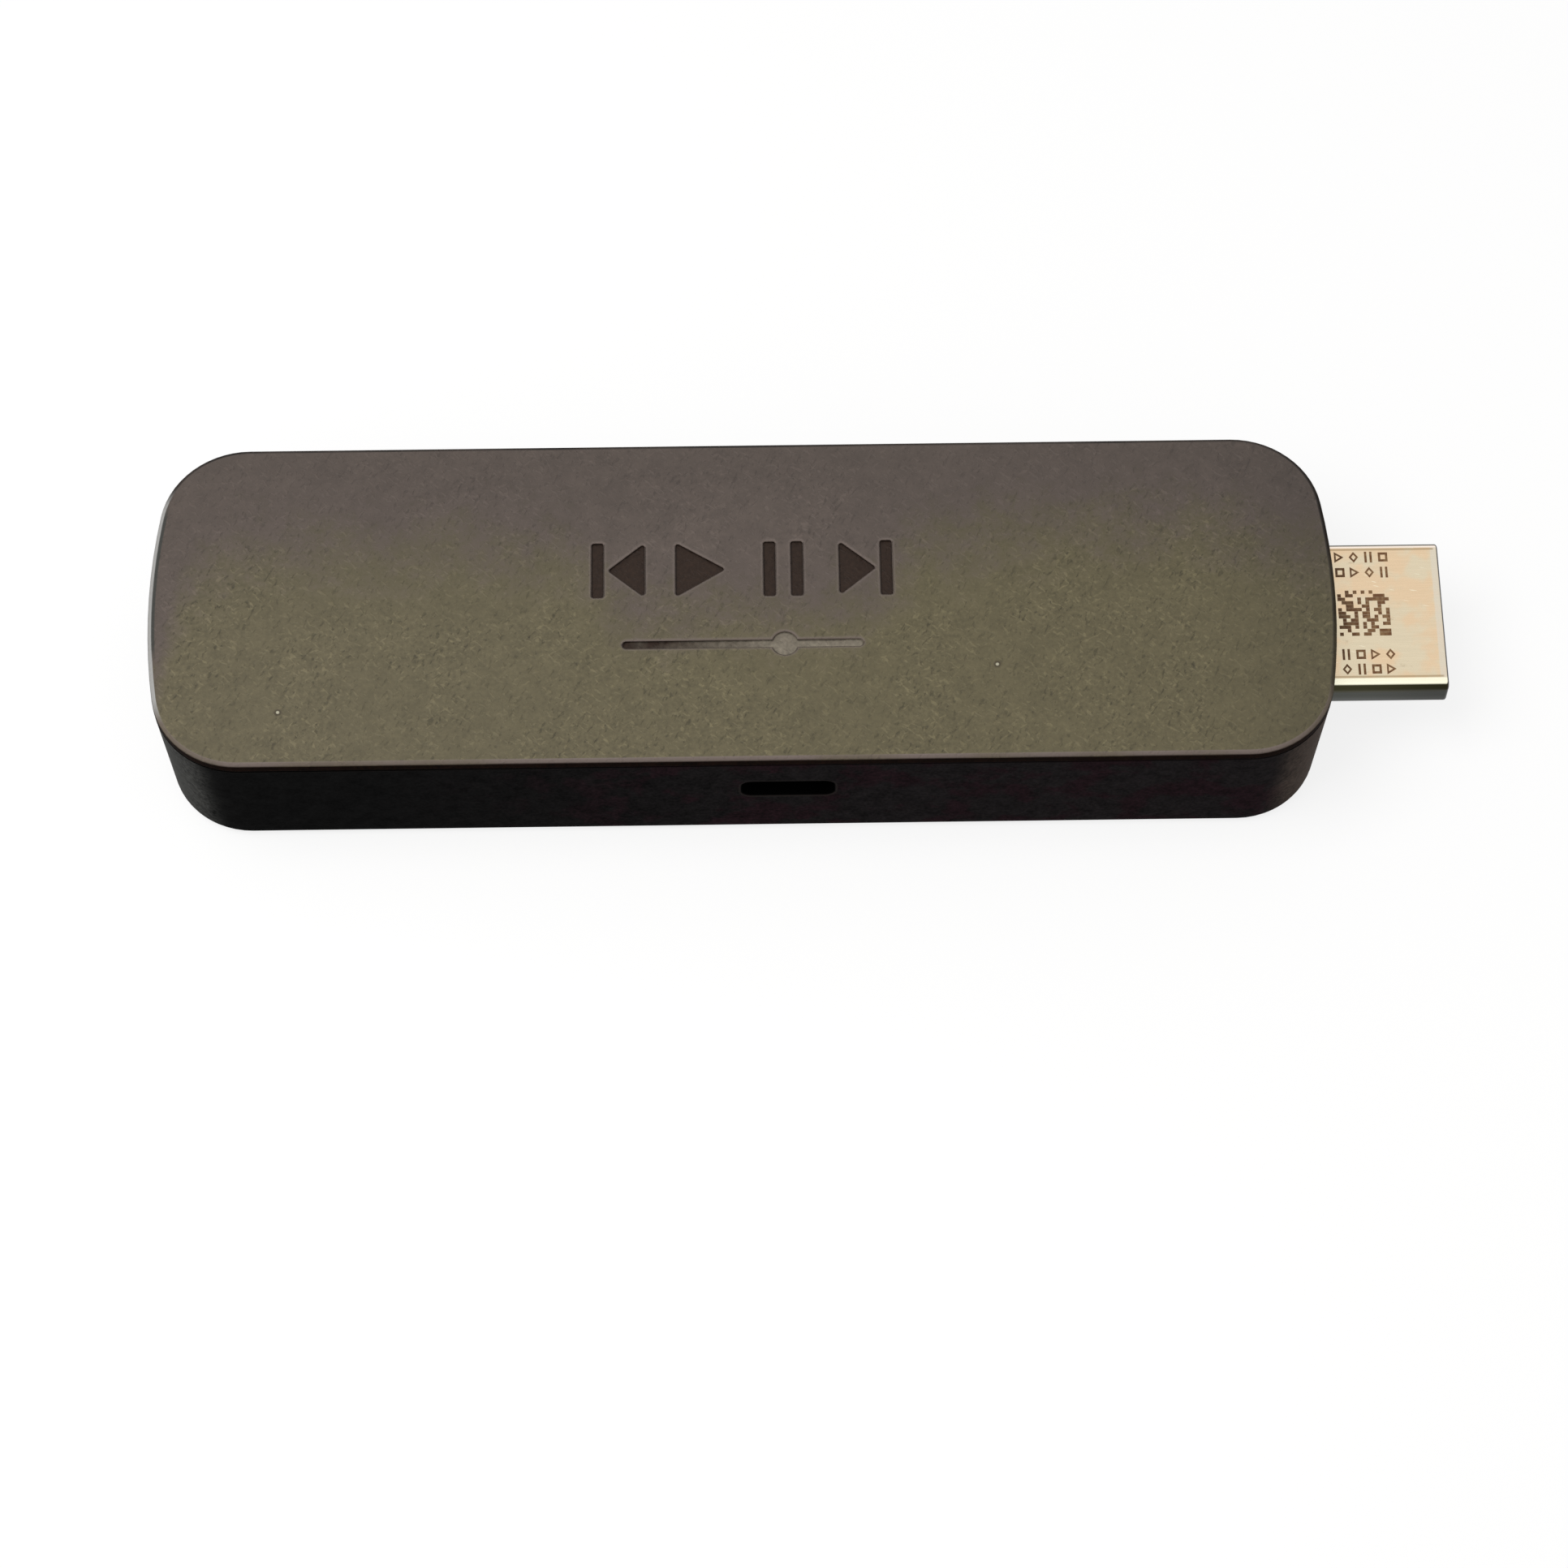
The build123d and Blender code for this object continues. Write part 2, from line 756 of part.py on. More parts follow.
def chips(bases, length, width, height):
    """Moulded packages on thin substrates, each with a dot at its first corner."""
    with BuildPart() as package:
        with BuildSketch(*bases):
            Rectangle(length, width)
        extrude(amount=substrate_thickness)
        with BuildSketch(*[base.offset(substrate_thickness) for base in bases]):
            Rectangle(length - 2 * substrate_margin, width - 2 * substrate_margin)
        extrude(amount=height - substrate_thickness)
        with BuildSketch(*[base.offset(height) for base in bases]):
            with Locations((corner_dot_inset - length / 2, width / 2 - corner_dot_inset)):
                Circle(corner_dot_radius)
        extrude(amount=-corner_dot_depth, mode=Mode.SUBTRACT)
    return package


# Chips: processor and memory, radio and its amplifiers, then storage and power under the board
memory_x = processor_shield_x + (processor_size + chip_spacing) / 2
radio_strip_offset = ((radio_shield_length + radio_chip_size) / 2 - shield_sheet) / 2
amplifier_x = radio_shield_x - radio_strip_offset
lower_group_length = (
    storage_length + power_chip_size + inductor_spacing + inductor_size + 2 * chip_spacing
)
storage_x = power_shield_x - (lower_group_length - storage_length) / 2
power_chip_x = storage_x + (storage_length + power_chip_size) / 2 + chip_spacing
inductor_x = power_chip_x + (power_chip_size + inductor_spacing + inductor_size) / 2 + chip_spacing
amplifier_planes = [
    over_board(amplifier_x, upper_shield_y + side * amplifier_spacing / 2) for side in (-1, 1)
]
save_piece(
    chips([over_board(processor_x, upper_shield_y)], processor_size, processor_size, processor_height),
    "processor_chip",
)
save_piece(
    chips([over_board(memory_x, upper_shield_y)], memory_length, memory_width, memory_height),
    "memory_chip",
)
save_piece(
    chips([over_board(radio_shield_x, upper_shield_y)], radio_chip_size, radio_chip_size, radio_chip_height),
    "radio_chip",
)
save_piece(chips(amplifier_planes, amplifier_size, amplifier_size, amplifier_height), "radio_amplifiers")
save_piece(
    chips([under_board(storage_x, 0)], storage_length, storage_width, storage_height),
    "storage_chip",
)
save_piece(
    chips([under_board(power_chip_x, 0)], power_chip_size, power_chip_size, power_chip_height),
    "power_chip",
)


def end_cap_parts(places, length, width, height):
    """Small blocks on the board's top with a metal cap at each end, lengthwise along X."""
    with BuildPart() as blocks:
        with BuildSketch(*places):
            Rectangle(length - 2 * end_cap_rise, width - 2 * end_cap_rise)
        extrude(amount=height - end_cap_rise)
        with BuildSketch(*places):
            with GridLocations(length - end_cap_length, 0, 2, 1):
                Rectangle(end_cap_length, width)
        extrude(amount=height)
    return blocks


def row_offsets(count, spacing):
    """Offsets of count items at a spacing, even about zero."""
    return [(index - (count - 1) / 2) * spacing for index in range(count)]


# Small parts round the chips, behind the power socket and in front of the plug
chip_row_length = processor_size + chip_spacing + memory_length
processor_strip_offset = ((processor_shield_length + chip_row_length) / 2 - shield_sheet) / 2
crystal_places = [
    over_board(processor_shield_x + processor_strip_offset, upper_shield_y),
    over_board(radio_shield_x + radio_strip_offset, upper_shield_y),
]
inductor_places = [
    under_board(inductor_x + across, along)
    for across in row_offsets(2, inductor_spacing)
    for along in row_offsets(2, inductor_spacing)
]
small_capacitor_places = [
    over_board(processor_shield_x - processor_strip_offset + across, upper_shield_y + along)
    for across in row_offsets(2, small_capacitor_spacing)
    for along in row_offsets(small_capacitor_rows, small_capacitor_spacing)
]
input_part_y = -(board_half_width - shield_edge_margin - bulk_capacitor_width / 2)
bulk_row_length = (bulk_capacitor_count - 1) * bulk_capacitor_spacing + bulk_capacitor_length
bulk_row_x = socket_x - socket_half_reach - input_part_gap - bulk_row_length / 2
bulk_capacitor_places = [
    over_board(bulk_row_x + along, input_part_y)
    for along in row_offsets(bulk_capacitor_count, bulk_capacitor_spacing)
]
fuse_places = [over_board(socket_x + socket_half_reach + input_part_gap + fuse_length / 2, input_part_y)]
filter_x = contact_drop_x - contact_foot_length - filter_gap - filter_length / 2
filter_places = [over_board(filter_x, along) for along in row_offsets(filter_count, filter_spacing)]
save_piece(end_cap_parts(crystal_places, crystal_length, crystal_width, crystal_height), "crystals")
save_piece(
    end_cap_parts(inductor_places, inductor_size, inductor_size, inductor_height),
    "power_inductors",
)
save_piece(
    end_cap_parts(
        small_capacitor_places, small_capacitor_length, small_capacitor_width, small_capacitor_height
    ),
    "small_capacitors",
)
save_piece(
    end_cap_parts(bulk_capacitor_places, bulk_capacitor_length, bulk_capacitor_width, bulk_capacitor_height),
    "bulk_capacitors",
)
save_piece(end_cap_parts(fuse_places, fuse_length, fuse_width, fuse_height), "input_fuse")
save_piece(end_cap_parts(filter_places, filter_length, filter_width, filter_height), "signal_filters")

# Plug shell: rolled sheet with two detent windows and the roll seam on its underside, and two legs
with BuildPart() as plug_shell:
    with BuildSketch(plug_plane(plug_rear_x)):
        add(plug_section(0))
    extrude(amount=plug_tip_x - plug_rear_x)
    fillet(plug_shell.edges().group_by(Axis.X)[-1], plug_tip_radius)
    with BuildSketch(plug_plane(plug_rear_x)):
        add(plug_section(plug_sheet))
    extrude(amount=plug_tip_x - plug_rear_x, mode=Mode.SUBTRACT)
    with BuildSketch(Plane.XY.offset(plug_bottom)):
        with Locations((plug_tip_x - detent_tip_distance, 0)):
            with GridLocations(0, detent_spacing, 1, 2):
                Rectangle(detent_length, detent_width)
    extrude(amount=plug_sheet, mode=Mode.SUBTRACT)
    seam_tail_x = (half_length + plug_tip_x - detent_tip_distance) / 2
    with BuildSketch(Plane.XY.offset(plug_bottom)):
        with BuildLine():
            Polyline(
                (plug_rear_x, 0),
                (seam_tail_x - roll_seam_tail_length / 2, 0),
                (seam_tail_x - roll_seam_tail_length / 2 - roll_seam_tail_flare, roll_seam_tail_width),
                (seam_tail_x + roll_seam_tail_length / 2 + roll_seam_tail_flare, roll_seam_tail_width),
                (seam_tail_x + roll_seam_tail_length / 2, 0),
                (plug_tip_x, 0),
            )
        trace(line_width=roll_seam_width)
    extrude(amount=roll_seam_depth, mode=Mode.SUBTRACT)
    with BuildSketch(Plane.YZ.offset(leg_x)):
        leg_root_y = (plug_width - plug_sheet) / 2
        leg_path = [
            (leg_root_y, plug_z + leg_rise),
            (leg_y, plug_z + leg_rise),
            (leg_y, board_z - leg_drop),
        ]
        add(bent_strip(leg_path, plug_sheet, leg_bend_radius))
        mirror(about=Plane.YZ)
    extrude(amount=leg_length / 2, both=True)
save_piece(plug_shell, "plug_shell")

# The planes of the contacts, each square to Y at one contact
upper_contact_planes = [Plane.XZ.offset(y) for y in row_offsets(upper_contact_count, contact_pitch)]
lower_contact_planes = [Plane.XZ.offset(y) for y in row_offsets(lower_contact_count, contact_pitch)]
contact_nose_x = plug_tip_x - nose_recess - contact_nose_gap


def contact_groove(level):
    """The groove that a contact lies in, seen from the side, at a level over the plug's axis."""
    length = contact_nose_x + contact_clearance - tail_block_x
    with BuildSketch() as groove:
        with Locations((tail_block_x + length / 2, plug_z + level)):
            Rectangle(length, contact_thickness + 2 * contact_clearance)
    return groove.sketch


# Plug insulator: fills the shell, with the slot in its nose, a groove for each contact and a tail block
with BuildPart() as plug_insulator:
    with BuildSketch(plug_plane(plug_rear_x)):
        add(plug_section(plug_sheet + plug_fit))
    extrude(amount=plug_tip_x - nose_recess - plug_rear_x)
    with BuildSketch(plug_plane(tail_block_x)):
        block_margin = plug_sheet + tail_block_margin
        Rectangle(plug_foot_width - 2 * block_margin, plug_height - 2 * block_margin)
    extrude(amount=tail_block_length)
    with BuildSketch(plug_plane(plug_tip_x - nose_recess - slot_depth)):
        Rectangle(slot_width, slot_height)
    extrude(amount=slot_depth, mode=Mode.SUBTRACT)
    with BuildSketch(*upper_contact_planes):
        add(contact_groove(contact_level))
    extrude(amount=contact_width / 2 + contact_clearance, both=True, mode=Mode.SUBTRACT)
    with BuildSketch(*lower_contact_planes):
        add(contact_groove(-contact_level))
    extrude(amount=contact_width / 2 + contact_clearance, both=True, mode=Mode.SUBTRACT)
save_piece(plug_insulator, "plug_insulator")


def contact_row(planes, level, foot_z):
    """Stamped contacts along the plug that step down to the board and end in solder feet."""
    contact_path = [
        (contact_nose_x, level),
        (contact_drop_x, level),
        (contact_drop_x, foot_z),
        (contact_drop_x - contact_foot_length, foot_z),
    ]
    with BuildPart() as contacts:
        with BuildSketch(*planes):
            add(bent_strip(contact_path, contact_thickness, contact_bend_radius))
        extrude(amount=contact_width / 2, both=True)
    return contacts


# Plug contacts: the upper row ends on the board's top, the lower row on its underside
save_piece(
    contact_row(upper_contact_planes, plug_z + contact_level, board_top + contact_thickness / 2),
    "plug_upper_contacts",
)
save_piece(
    contact_row(lower_contact_planes, plug_z - contact_level, board_z - contact_thickness / 2),
    "plug_lower_contacts",
)

# Power socket shell: a sheet metal tube on the board with two pairs of solder ears
with BuildPart() as socket_shell:
    with BuildSketch(socket_plane(socket_front_y)):
        add(socket_section(0))
        add(socket_section(socket_sheet), mode=Mode.SUBTRACT)
    extrude(amount=-socket_depth)
    with BuildSketch(Plane.XY.offset(board_top)):
        with Locations((socket_x, (socket_front_y + socket_rear_y) / 2)):
            with GridLocations(0, socket_ear_spacing, 1, 2):
                Rectangle(2 * socket_half_reach, socket_ear_length)
    extrude(amount=socket_sheet)
save_piece(socket_shell, "socket_shell")

# Places of the power socket's contacts, on the underside of its tongue
socket_back_y = socket_rear_y - socket_back_thickness
socket_tongue_y = socket_back_y - socket_tongue_length
socket_contact_pitch = (socket_tongue_width - 2 * socket_contact_margin) / (socket_contact_count - 1)
socket_contact_z = socket_z - socket_tongue_thickness / 2 + socket_contact_thickness / 2
socket_contact_planes = [
    Plane.YZ.offset(socket_x + across)
    for across in row_offsets(socket_contact_count, socket_contact_pitch)
]
socket_contact_drop_y = socket_rear_y + socket_contact_drop_gap
socket_contact_foot_z = board_top + socket_contact_thickness / 2
socket_contact_path = [
    (socket_tongue_y + socket_contact_tip_gap, socket_contact_z),
    (socket_contact_drop_y, socket_contact_z),
    (socket_contact_drop_y, socket_contact_foot_z),
    (socket_contact_drop_y + socket_contact_foot_length, socket_contact_foot_z),
]

# Power socket insulator: a block in the back of the shell with a tongue, grooved for the contacts
with BuildPart() as socket_insulator:
    with BuildSketch(socket_plane(socket_back_y)):
        add(socket_section(socket_sheet + socket_fit))
    extrude(amount=-socket_back_thickness)
    with BuildSketch(socket_plane(socket_tongue_y)):
        Rectangle(socket_tongue_width, socket_tongue_thickness)
    extrude(amount=-socket_tongue_length)
    groove_start_y = socket_tongue_y + socket_contact_tip_gap - contact_clearance
    with BuildSketch(*socket_contact_planes):
        with Locations(((groove_start_y + socket_rear_y) / 2, socket_contact_z)):
            Rectangle(socket_rear_y - groove_start_y, socket_contact_thickness + 2 * contact_clearance)
    extrude(amount=socket_contact_width / 2 + contact_clearance, both=True, mode=Mode.SUBTRACT)
save_piece(socket_insulator, "socket_insulator")

# Power socket contacts
with BuildPart() as socket_contacts:
    with BuildSketch(*socket_contact_planes):
        add(bent_strip(socket_contact_path, socket_contact_thickness, socket_contact_bend_radius))
    extrude(amount=socket_contact_width / 2, both=True)
save_piece(socket_contacts, "socket_contacts")


def antenna(middle_y):
    """A folded sheet antenna: a raised plate with a feed leg and a ground leg on the board."""
    plate_z = board_top + antenna_height - antenna_sheet / 2
    foot_z = board_top + antenna_sheet / 2
    end_x = board_inset + antenna_end_margin - half_length
    leg_line_x = end_x + antenna_length - antenna_sheet / 2
    leg_path = [
        (leg_line_x + antenna_foot_length, foot_z),
        (leg_line_x, foot_z),
        (leg_line_x, plate_z),
        (end_x, plate_z),
    ]
    leg_planes = [Plane.XZ.offset(y - middle_y) for y in row_offsets(2, antenna_leg_spacing)]
    with BuildPart() as folded:
        with BuildSketch(*leg_planes):
            add(bent_strip(leg_path, antenna_sheet, antenna_bend_radius))
        extrude(amount=antenna_leg_width / 2, both=True)
        with BuildSketch(Plane.XY.offset(plate_z - antenna_sheet / 2)):
            plate_length = antenna_length - antenna_sheet / 2 - antenna_bend_radius
            with Locations((end_x + plate_length / 2, middle_y)):
                Rectangle(plate_length, antenna_width)
        extrude(amount=antenna_sheet)
    return folded


# Antennas: two folded ones side by side and a small block for the remote control between them
save_piece(antenna(antenna_spacing / 2), "back_antenna")
save_piece(antenna(-antenna_spacing / 2), "front_antenna")
remote_antenna_x = board_inset + antenna_end_margin + remote_antenna_length / 2 - half_length
save_piece(
    end_cap_parts(
        [over_board(remote_antenna_x, 0)],
        remote_antenna_length,
        remote_antenna_width,
        remote_antenna_height,
    ),
    "remote_antenna",
)
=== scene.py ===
import math
import random
import bmesh
import bpy
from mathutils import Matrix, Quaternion, Vector


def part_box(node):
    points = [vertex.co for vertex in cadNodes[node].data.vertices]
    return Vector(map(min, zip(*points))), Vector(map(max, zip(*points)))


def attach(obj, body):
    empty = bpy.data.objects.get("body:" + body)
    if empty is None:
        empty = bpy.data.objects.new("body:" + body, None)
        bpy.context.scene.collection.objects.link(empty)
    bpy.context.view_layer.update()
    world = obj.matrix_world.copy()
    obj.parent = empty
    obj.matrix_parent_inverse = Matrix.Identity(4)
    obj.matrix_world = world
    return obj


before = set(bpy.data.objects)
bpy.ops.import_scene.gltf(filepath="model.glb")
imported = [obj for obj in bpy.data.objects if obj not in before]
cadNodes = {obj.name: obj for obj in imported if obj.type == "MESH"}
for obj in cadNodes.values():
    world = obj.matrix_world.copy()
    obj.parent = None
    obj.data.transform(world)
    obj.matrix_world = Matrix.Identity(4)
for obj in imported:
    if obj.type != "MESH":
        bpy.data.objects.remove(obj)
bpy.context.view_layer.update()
mm = 0.001  # the scene is in metres
print("frame loaded,", len(cadNodes), "nodes")


# Shader helpers

def rgb(red, green, blue):
    # a colour as a picture editor shows it, 0 to 255, turned into Blender's linear values
    def linear(level):
        level /= 255
        return level / 12.92 if level <= 0.04045 else ((level + 0.055) / 1.055) ** 2.4
    return (linear(red), linear(green), linear(blue), 1.0)


def feed(tree, socket, value):
    if isinstance(value, bpy.types.NodeSocket):
        tree.links.new(value, socket)
    else:
        socket.default_value = value


def addNode(tree, kind, sockets=None, **settings):
    made = tree.nodes.new("ShaderNode" + kind)
    for name, value in settings.items():
        setattr(made, name, value)
    for name, value in (sockets or {}).items():
        feed(tree, made.inputs[name], value)
    return made


def startFinish(name, metallic=0.0, shine=0.5):
    finish = bpy.data.materials.new(name)
    finish.use_nodes = True
    shader = finish.node_tree.nodes["Principled BSDF"]
    shader.inputs["Metallic"].default_value = metallic
    shader.inputs["Specular IOR Level"].default_value = shine
    return finish, finish.node_tree, shader


def inMillimetres(tree):
    place = addNode(tree, "TexCoord").outputs["Object"]
    return addNode(tree, "VectorMath", {0: place, "Scale": 1000.0}, operation="SCALE").outputs["Vector"]


def axes(tree, vector):
    return addNode(tree, "SeparateXYZ", {0: vector}).outputs


def surfaceNormal(tree):
    return axes(tree, addNode(tree, "TexCoord").outputs["Normal"])


def stretched(tree, place, x, y, z):
    return addNode(tree, "VectorMath", {0: place, 1: (x, y, z)}, operation="MULTIPLY").outputs["Vector"]


def rolled(tree, place, axis, along, across):
    # the pattern drawn out along one axis
    return stretched(tree, place, *(along if name == axis else across for name in "XYZ"))


def turned(tree, place, degrees):
    # the pattern turned about Z
    sockets = {"Vector": place, "Axis": (0, 0, 1), "Angle": math.radians(degrees)}
    return addNode(tree, "VectorRotate", sockets).outputs["Vector"]


def calc(tree, operation, first, second=0.0):
    return addNode(tree, "Math", {0: first, 1: second}, operation=operation).outputs[0]


def times(tree, first, *others):
    for other in others:
        first = calc(tree, "MULTIPLY", first, other)
    return first


def plus(tree, first, *others):
    for other in others:
        first = calc(tree, "ADD", first, other)
    return first


def step(tree, value, low, high, start=0.0, end=1.0):
    # smooth step from start to end while value goes from low to high
    sockets = {"Value": value, "From Min": low, "From Max": high, "To Min": start, "To Max": end}
    return addNode(tree, "MapRange", sockets, interpolation_type="SMOOTHSTEP").outputs["Result"]


def band(tree, value, low, high, soft):
    # 1 between low and high, with soft shoulders
    return times(tree, step(tree, value, low - soft, low), step(tree, value, high + soft, high))


def grain(tree, place, size, detail=2.0, rough=0.5, bent=0.0):
    # soft random field about 0.5, size is the width of one blotch in millimetres
    sockets = {"Vector": place, "Scale": 1 / size, "Detail": detail, "Roughness": rough, "Distortion": bent}
    return addNode(tree, "TexNoise", sockets).outputs["Fac"]


def swing(tree, field, amount):
    # a random field turned into plus or minus about that amount
    return times(tree, calc(tree, "SUBTRACT", field, 0.5), 3.0 * amount)


def flatten(tree, x, y):
    return addNode(tree, "CombineXYZ", {"X": x, "Y": y, "Z": 0.0}).outputs[0]


def reach(tree, x, y):
    return addNode(tree, "VectorMath", {0: flatten(tree, x, y)}, operation="LENGTH").outputs["Value"]


def specks(tree, place, size, share, radius):
    # small round spots in a share of the cells of a random grid
    cells = addNode(tree, "TexVoronoi", {"Vector": place, "Scale": 1 / size})
    chosen = step(tree, axes(tree, cells.outputs["Color"])["X"], 1 - share, 1 - share + 0.01)
    near = step(tree, cells.outputs["Distance"], radius / size, radius / size * 0.4)
    return times(tree, chosen, near)


def makeFlecks(tree, place, degrees, low, high):
    # short ragged flecks that lean one way
    along = stretched(tree, turned(tree, place, degrees), 0.65, 1.5, 1.0)
    return step(tree, grain(tree, along, 0.48, bent=0.45), low, high)


def makeHairlines(tree, place, degrees):
    # a few long thin scratches, all leaning the same way
    long = stretched(tree, turned(tree, place, degrees), 0.3, 5.0, 1.0)
    return step(tree, grain(tree, long, 0.8, 1.0), 0.72, 0.8)


def mixed(tree, share, first, second):
    made = addNode(tree, "Mix", data_type="RGBA")
    for socket, value in zip((made.inputs[0], made.inputs[6], made.inputs[7]), (share, first, second)):
        feed(tree, socket, value)
    return made.outputs[2]


def shaded(tree, colour, amount):
    # the colour made lighter or darker by a factor
    if not isinstance(colour, bpy.types.NodeSocket):
        colour = colour[:3]
    return addNode(tree, "VectorMath", {0: colour, "Scale": amount}, operation="SCALE").outputs["Vector"]


def relief(tree, height, depth, under=None):
    sockets = {"Height": height, "Distance": depth * mm}
    if under is not None:
        sockets["Normal"] = under
    return addNode(tree, "Bump", sockets).outputs["Normal"]


def nearSharpEdge(tree, radius):
    # 1 close to a sharp edge, from how far the rounded normal leans away from the true one
    rounded = addNode(tree, "Bevel", {"Radius": radius * mm}, samples=4).outputs["Normal"]
    true = addNode(tree, "NewGeometry").outputs["Normal"]
    lean = addNode(tree, "VectorMath", {0: rounded, 1: true}, operation="DOT_PRODUCT").outputs["Value"]
    return step(tree, lean, 0.985, 0.86)


def dress(finish, *names):
    for name in names:
        cadNodes[name].data.materials.clear()
        cadNodes[name].data.materials.append(finish)


# Top cover: matte, with painted sheen that turns its black plastic olive in the middle and mauve towards the
# back edge and the ends

coverLook = {
    # painted sheen: the olive and the mauve stand for light on black plastic; the mottle, flecks and dust are
    # its own
    "olive": rgb(98, 91, 68),
    "oliveLight": rgb(98, 91, 70),
    "mauve": rgb(90, 80, 74),
    # painted highlight and painted shade for the rounded edge
    "rim": rgb(124, 112, 106),
    "rimShade": rgb(34, 29, 26),
    "rimFootShade": rgb(36, 22, 16),
    # painted highlight along the left end, and a painted dark line beside it
    "leftHighlight": rgb(172, 171, 169),
    "leftHighlightFoot": rgb(104, 103, 101),
    "leftShadeLine": rgb(50, 53, 50),
    "pressed": rgb(46, 34, 27),
    "pressedSheen": rgb(138, 130, 116),
    "dust": rgb(186, 182, 160),
    "dustPlaces": ((-38.35, -10.12), (21.03, -6.46)),
    "dustEdge": (0.17, 0.1),  # each grain fades out between these distances from its middle
    "dustRing": (0.42, 0.2),  # and so does the dark ring round it
    "mauveLine": 5.0,  # how far behind the middle the colours change
    "mauveSoftness": 5.0,
    "mauveDip": 6.5,  # how far the mauve reaches forward round the marks
    "mauveLeft": 6.0,  # and towards the left end
    "mauveLeftRim": 7.0,  # and once more beside the left rim
    "mauveRight": 3.2,  # and towards the plug's end
    "oliveRight": 1.6,  # how far the olive reaches back to the right of the marks
    "lineWander": 2.4,  # how much the border bends, breaks up and frays
    "lineBreak": 3.0,
    "lineFray": 1.8,
    "mottleSize": 0.36,
    "mottle": 0.26,
    "finestMottle": 0.2,  # share of the mottle, and so is the next one
    "widestMottle": 0.6,
    "lightFlecks": 0.34,
    "darkFlecks": -0.28,
    "hairlines": 0.16,
    "crossHairlines": 0.12,
    "mauveCalm": 0.6,  # how much of the small mottle shows in the mauve part
    # painted light falloff over the top face
    "endShade": 0.80,  # brightness at the plug's end
    "frontShade": 1.02,  # brightness at the front edge
    "backShade": 0.86,
    "glowBehindMarks": 0.07,
    "roughness": 0.58,
    "shine": 0.3,
    "rimShine": 0.03,  # the rounded edge shines less, so its dark line shows
    "bareBelow": 13.65,  # the olive sheen ends at the foot of the rounded edge
    "markFloor": 13.86,  # everything on the top face below this height is a pressed mark
    "trackBack": -2.6,  # the bar with the dot lies in front of this line
    "leftHighlightFrom": -8.5,  # the part of the left end with a painted highlight
    "leftHighlightTo": 9.0,
    "endFrom": -46.0,
    "endRadius": 57.25,  # the bow of the left end
    "endMiddle": 7.75,
    "lineFrom": 0.38,  # the painted dark line beside the painted highlight, measured from the end
    "lineTo": 0.56,
}


def paintRimLight(tree, look, colour, place, at, normal):
    # the rounded edge gets painted light: a painted highlight along the front, painted shade along the back
    # and at its foot, and a painted highlight with a painted dark line beside it along the left end
    up = normal["Z"]
    flat = flatten(tree, normal["X"], normal["Y"])
    aside = axes(tree, addNode(tree, "VectorMath", {0: flat}, operation="NORMALIZE").outputs["Vector"])
    rim = mixed(tree, step(tree, aside["Y"], -0.05, -0.4), look["rimShade"], look["rim"])
    rim = mixed(tree, step(tree, up, 0.6, 0.08), rim, look["rimFootShade"])
    # the painted highlight and shade come and go in patches
    worn = step(tree, grain(tree, place, 9.0, 2.0), 0.35, 0.6, 0.6, 1.0)
    atBack = times(tree, step(tree, aside["Y"], -0.4, -0.05), step(tree, up, 0.9999, 0.99))
    covered = calc(tree, "MAXIMUM", step(tree, up, 0.995, 0.95), atBack)
    colour = mixed(tree, times(tree, covered, worn), colour, rim)
    colour = mixed(tree, step(tree, up, 0.2, 0.02), colour, look["rimFootShade"])

    # a painted highlight along the left end, with a painted dark line inside it
    nearEnd = step(tree, at["X"], look["endFrom"], look["endFrom"] - 1.0)
    alongEnd = band(tree, at["Y"], look["leftHighlightFrom"], look["leftHighlightTo"], 3.0)
    leftEnd = times(tree, alongEnd, step(tree, aside["X"], -0.8, -0.97), step(tree, up, 0.999, 0.99), nearEnd)
    leftColour = mixed(tree, step(tree, up, 0.5, 0.35), look["leftHighlight"], look["leftHighlightFoot"])
    colour = mixed(tree, leftEnd, colour, leftColour)
    fromMiddle = reach(tree, plus(tree, at["X"], -look["endMiddle"]), at["Y"])
    fromEnd = calc(tree, "SUBTRACT", look["endRadius"], fromMiddle)
    darkLine = times(tree, band(tree, fromEnd, look["lineFrom"], look["lineTo"], 0.1),
                     band(tree, at["Y"], -3.5, look["leftHighlightTo"] - 1.0, 2.0), nearEnd)
    return mixed(tree, times(tree, darkLine, 0.85), colour, look["leftShadeLine"])


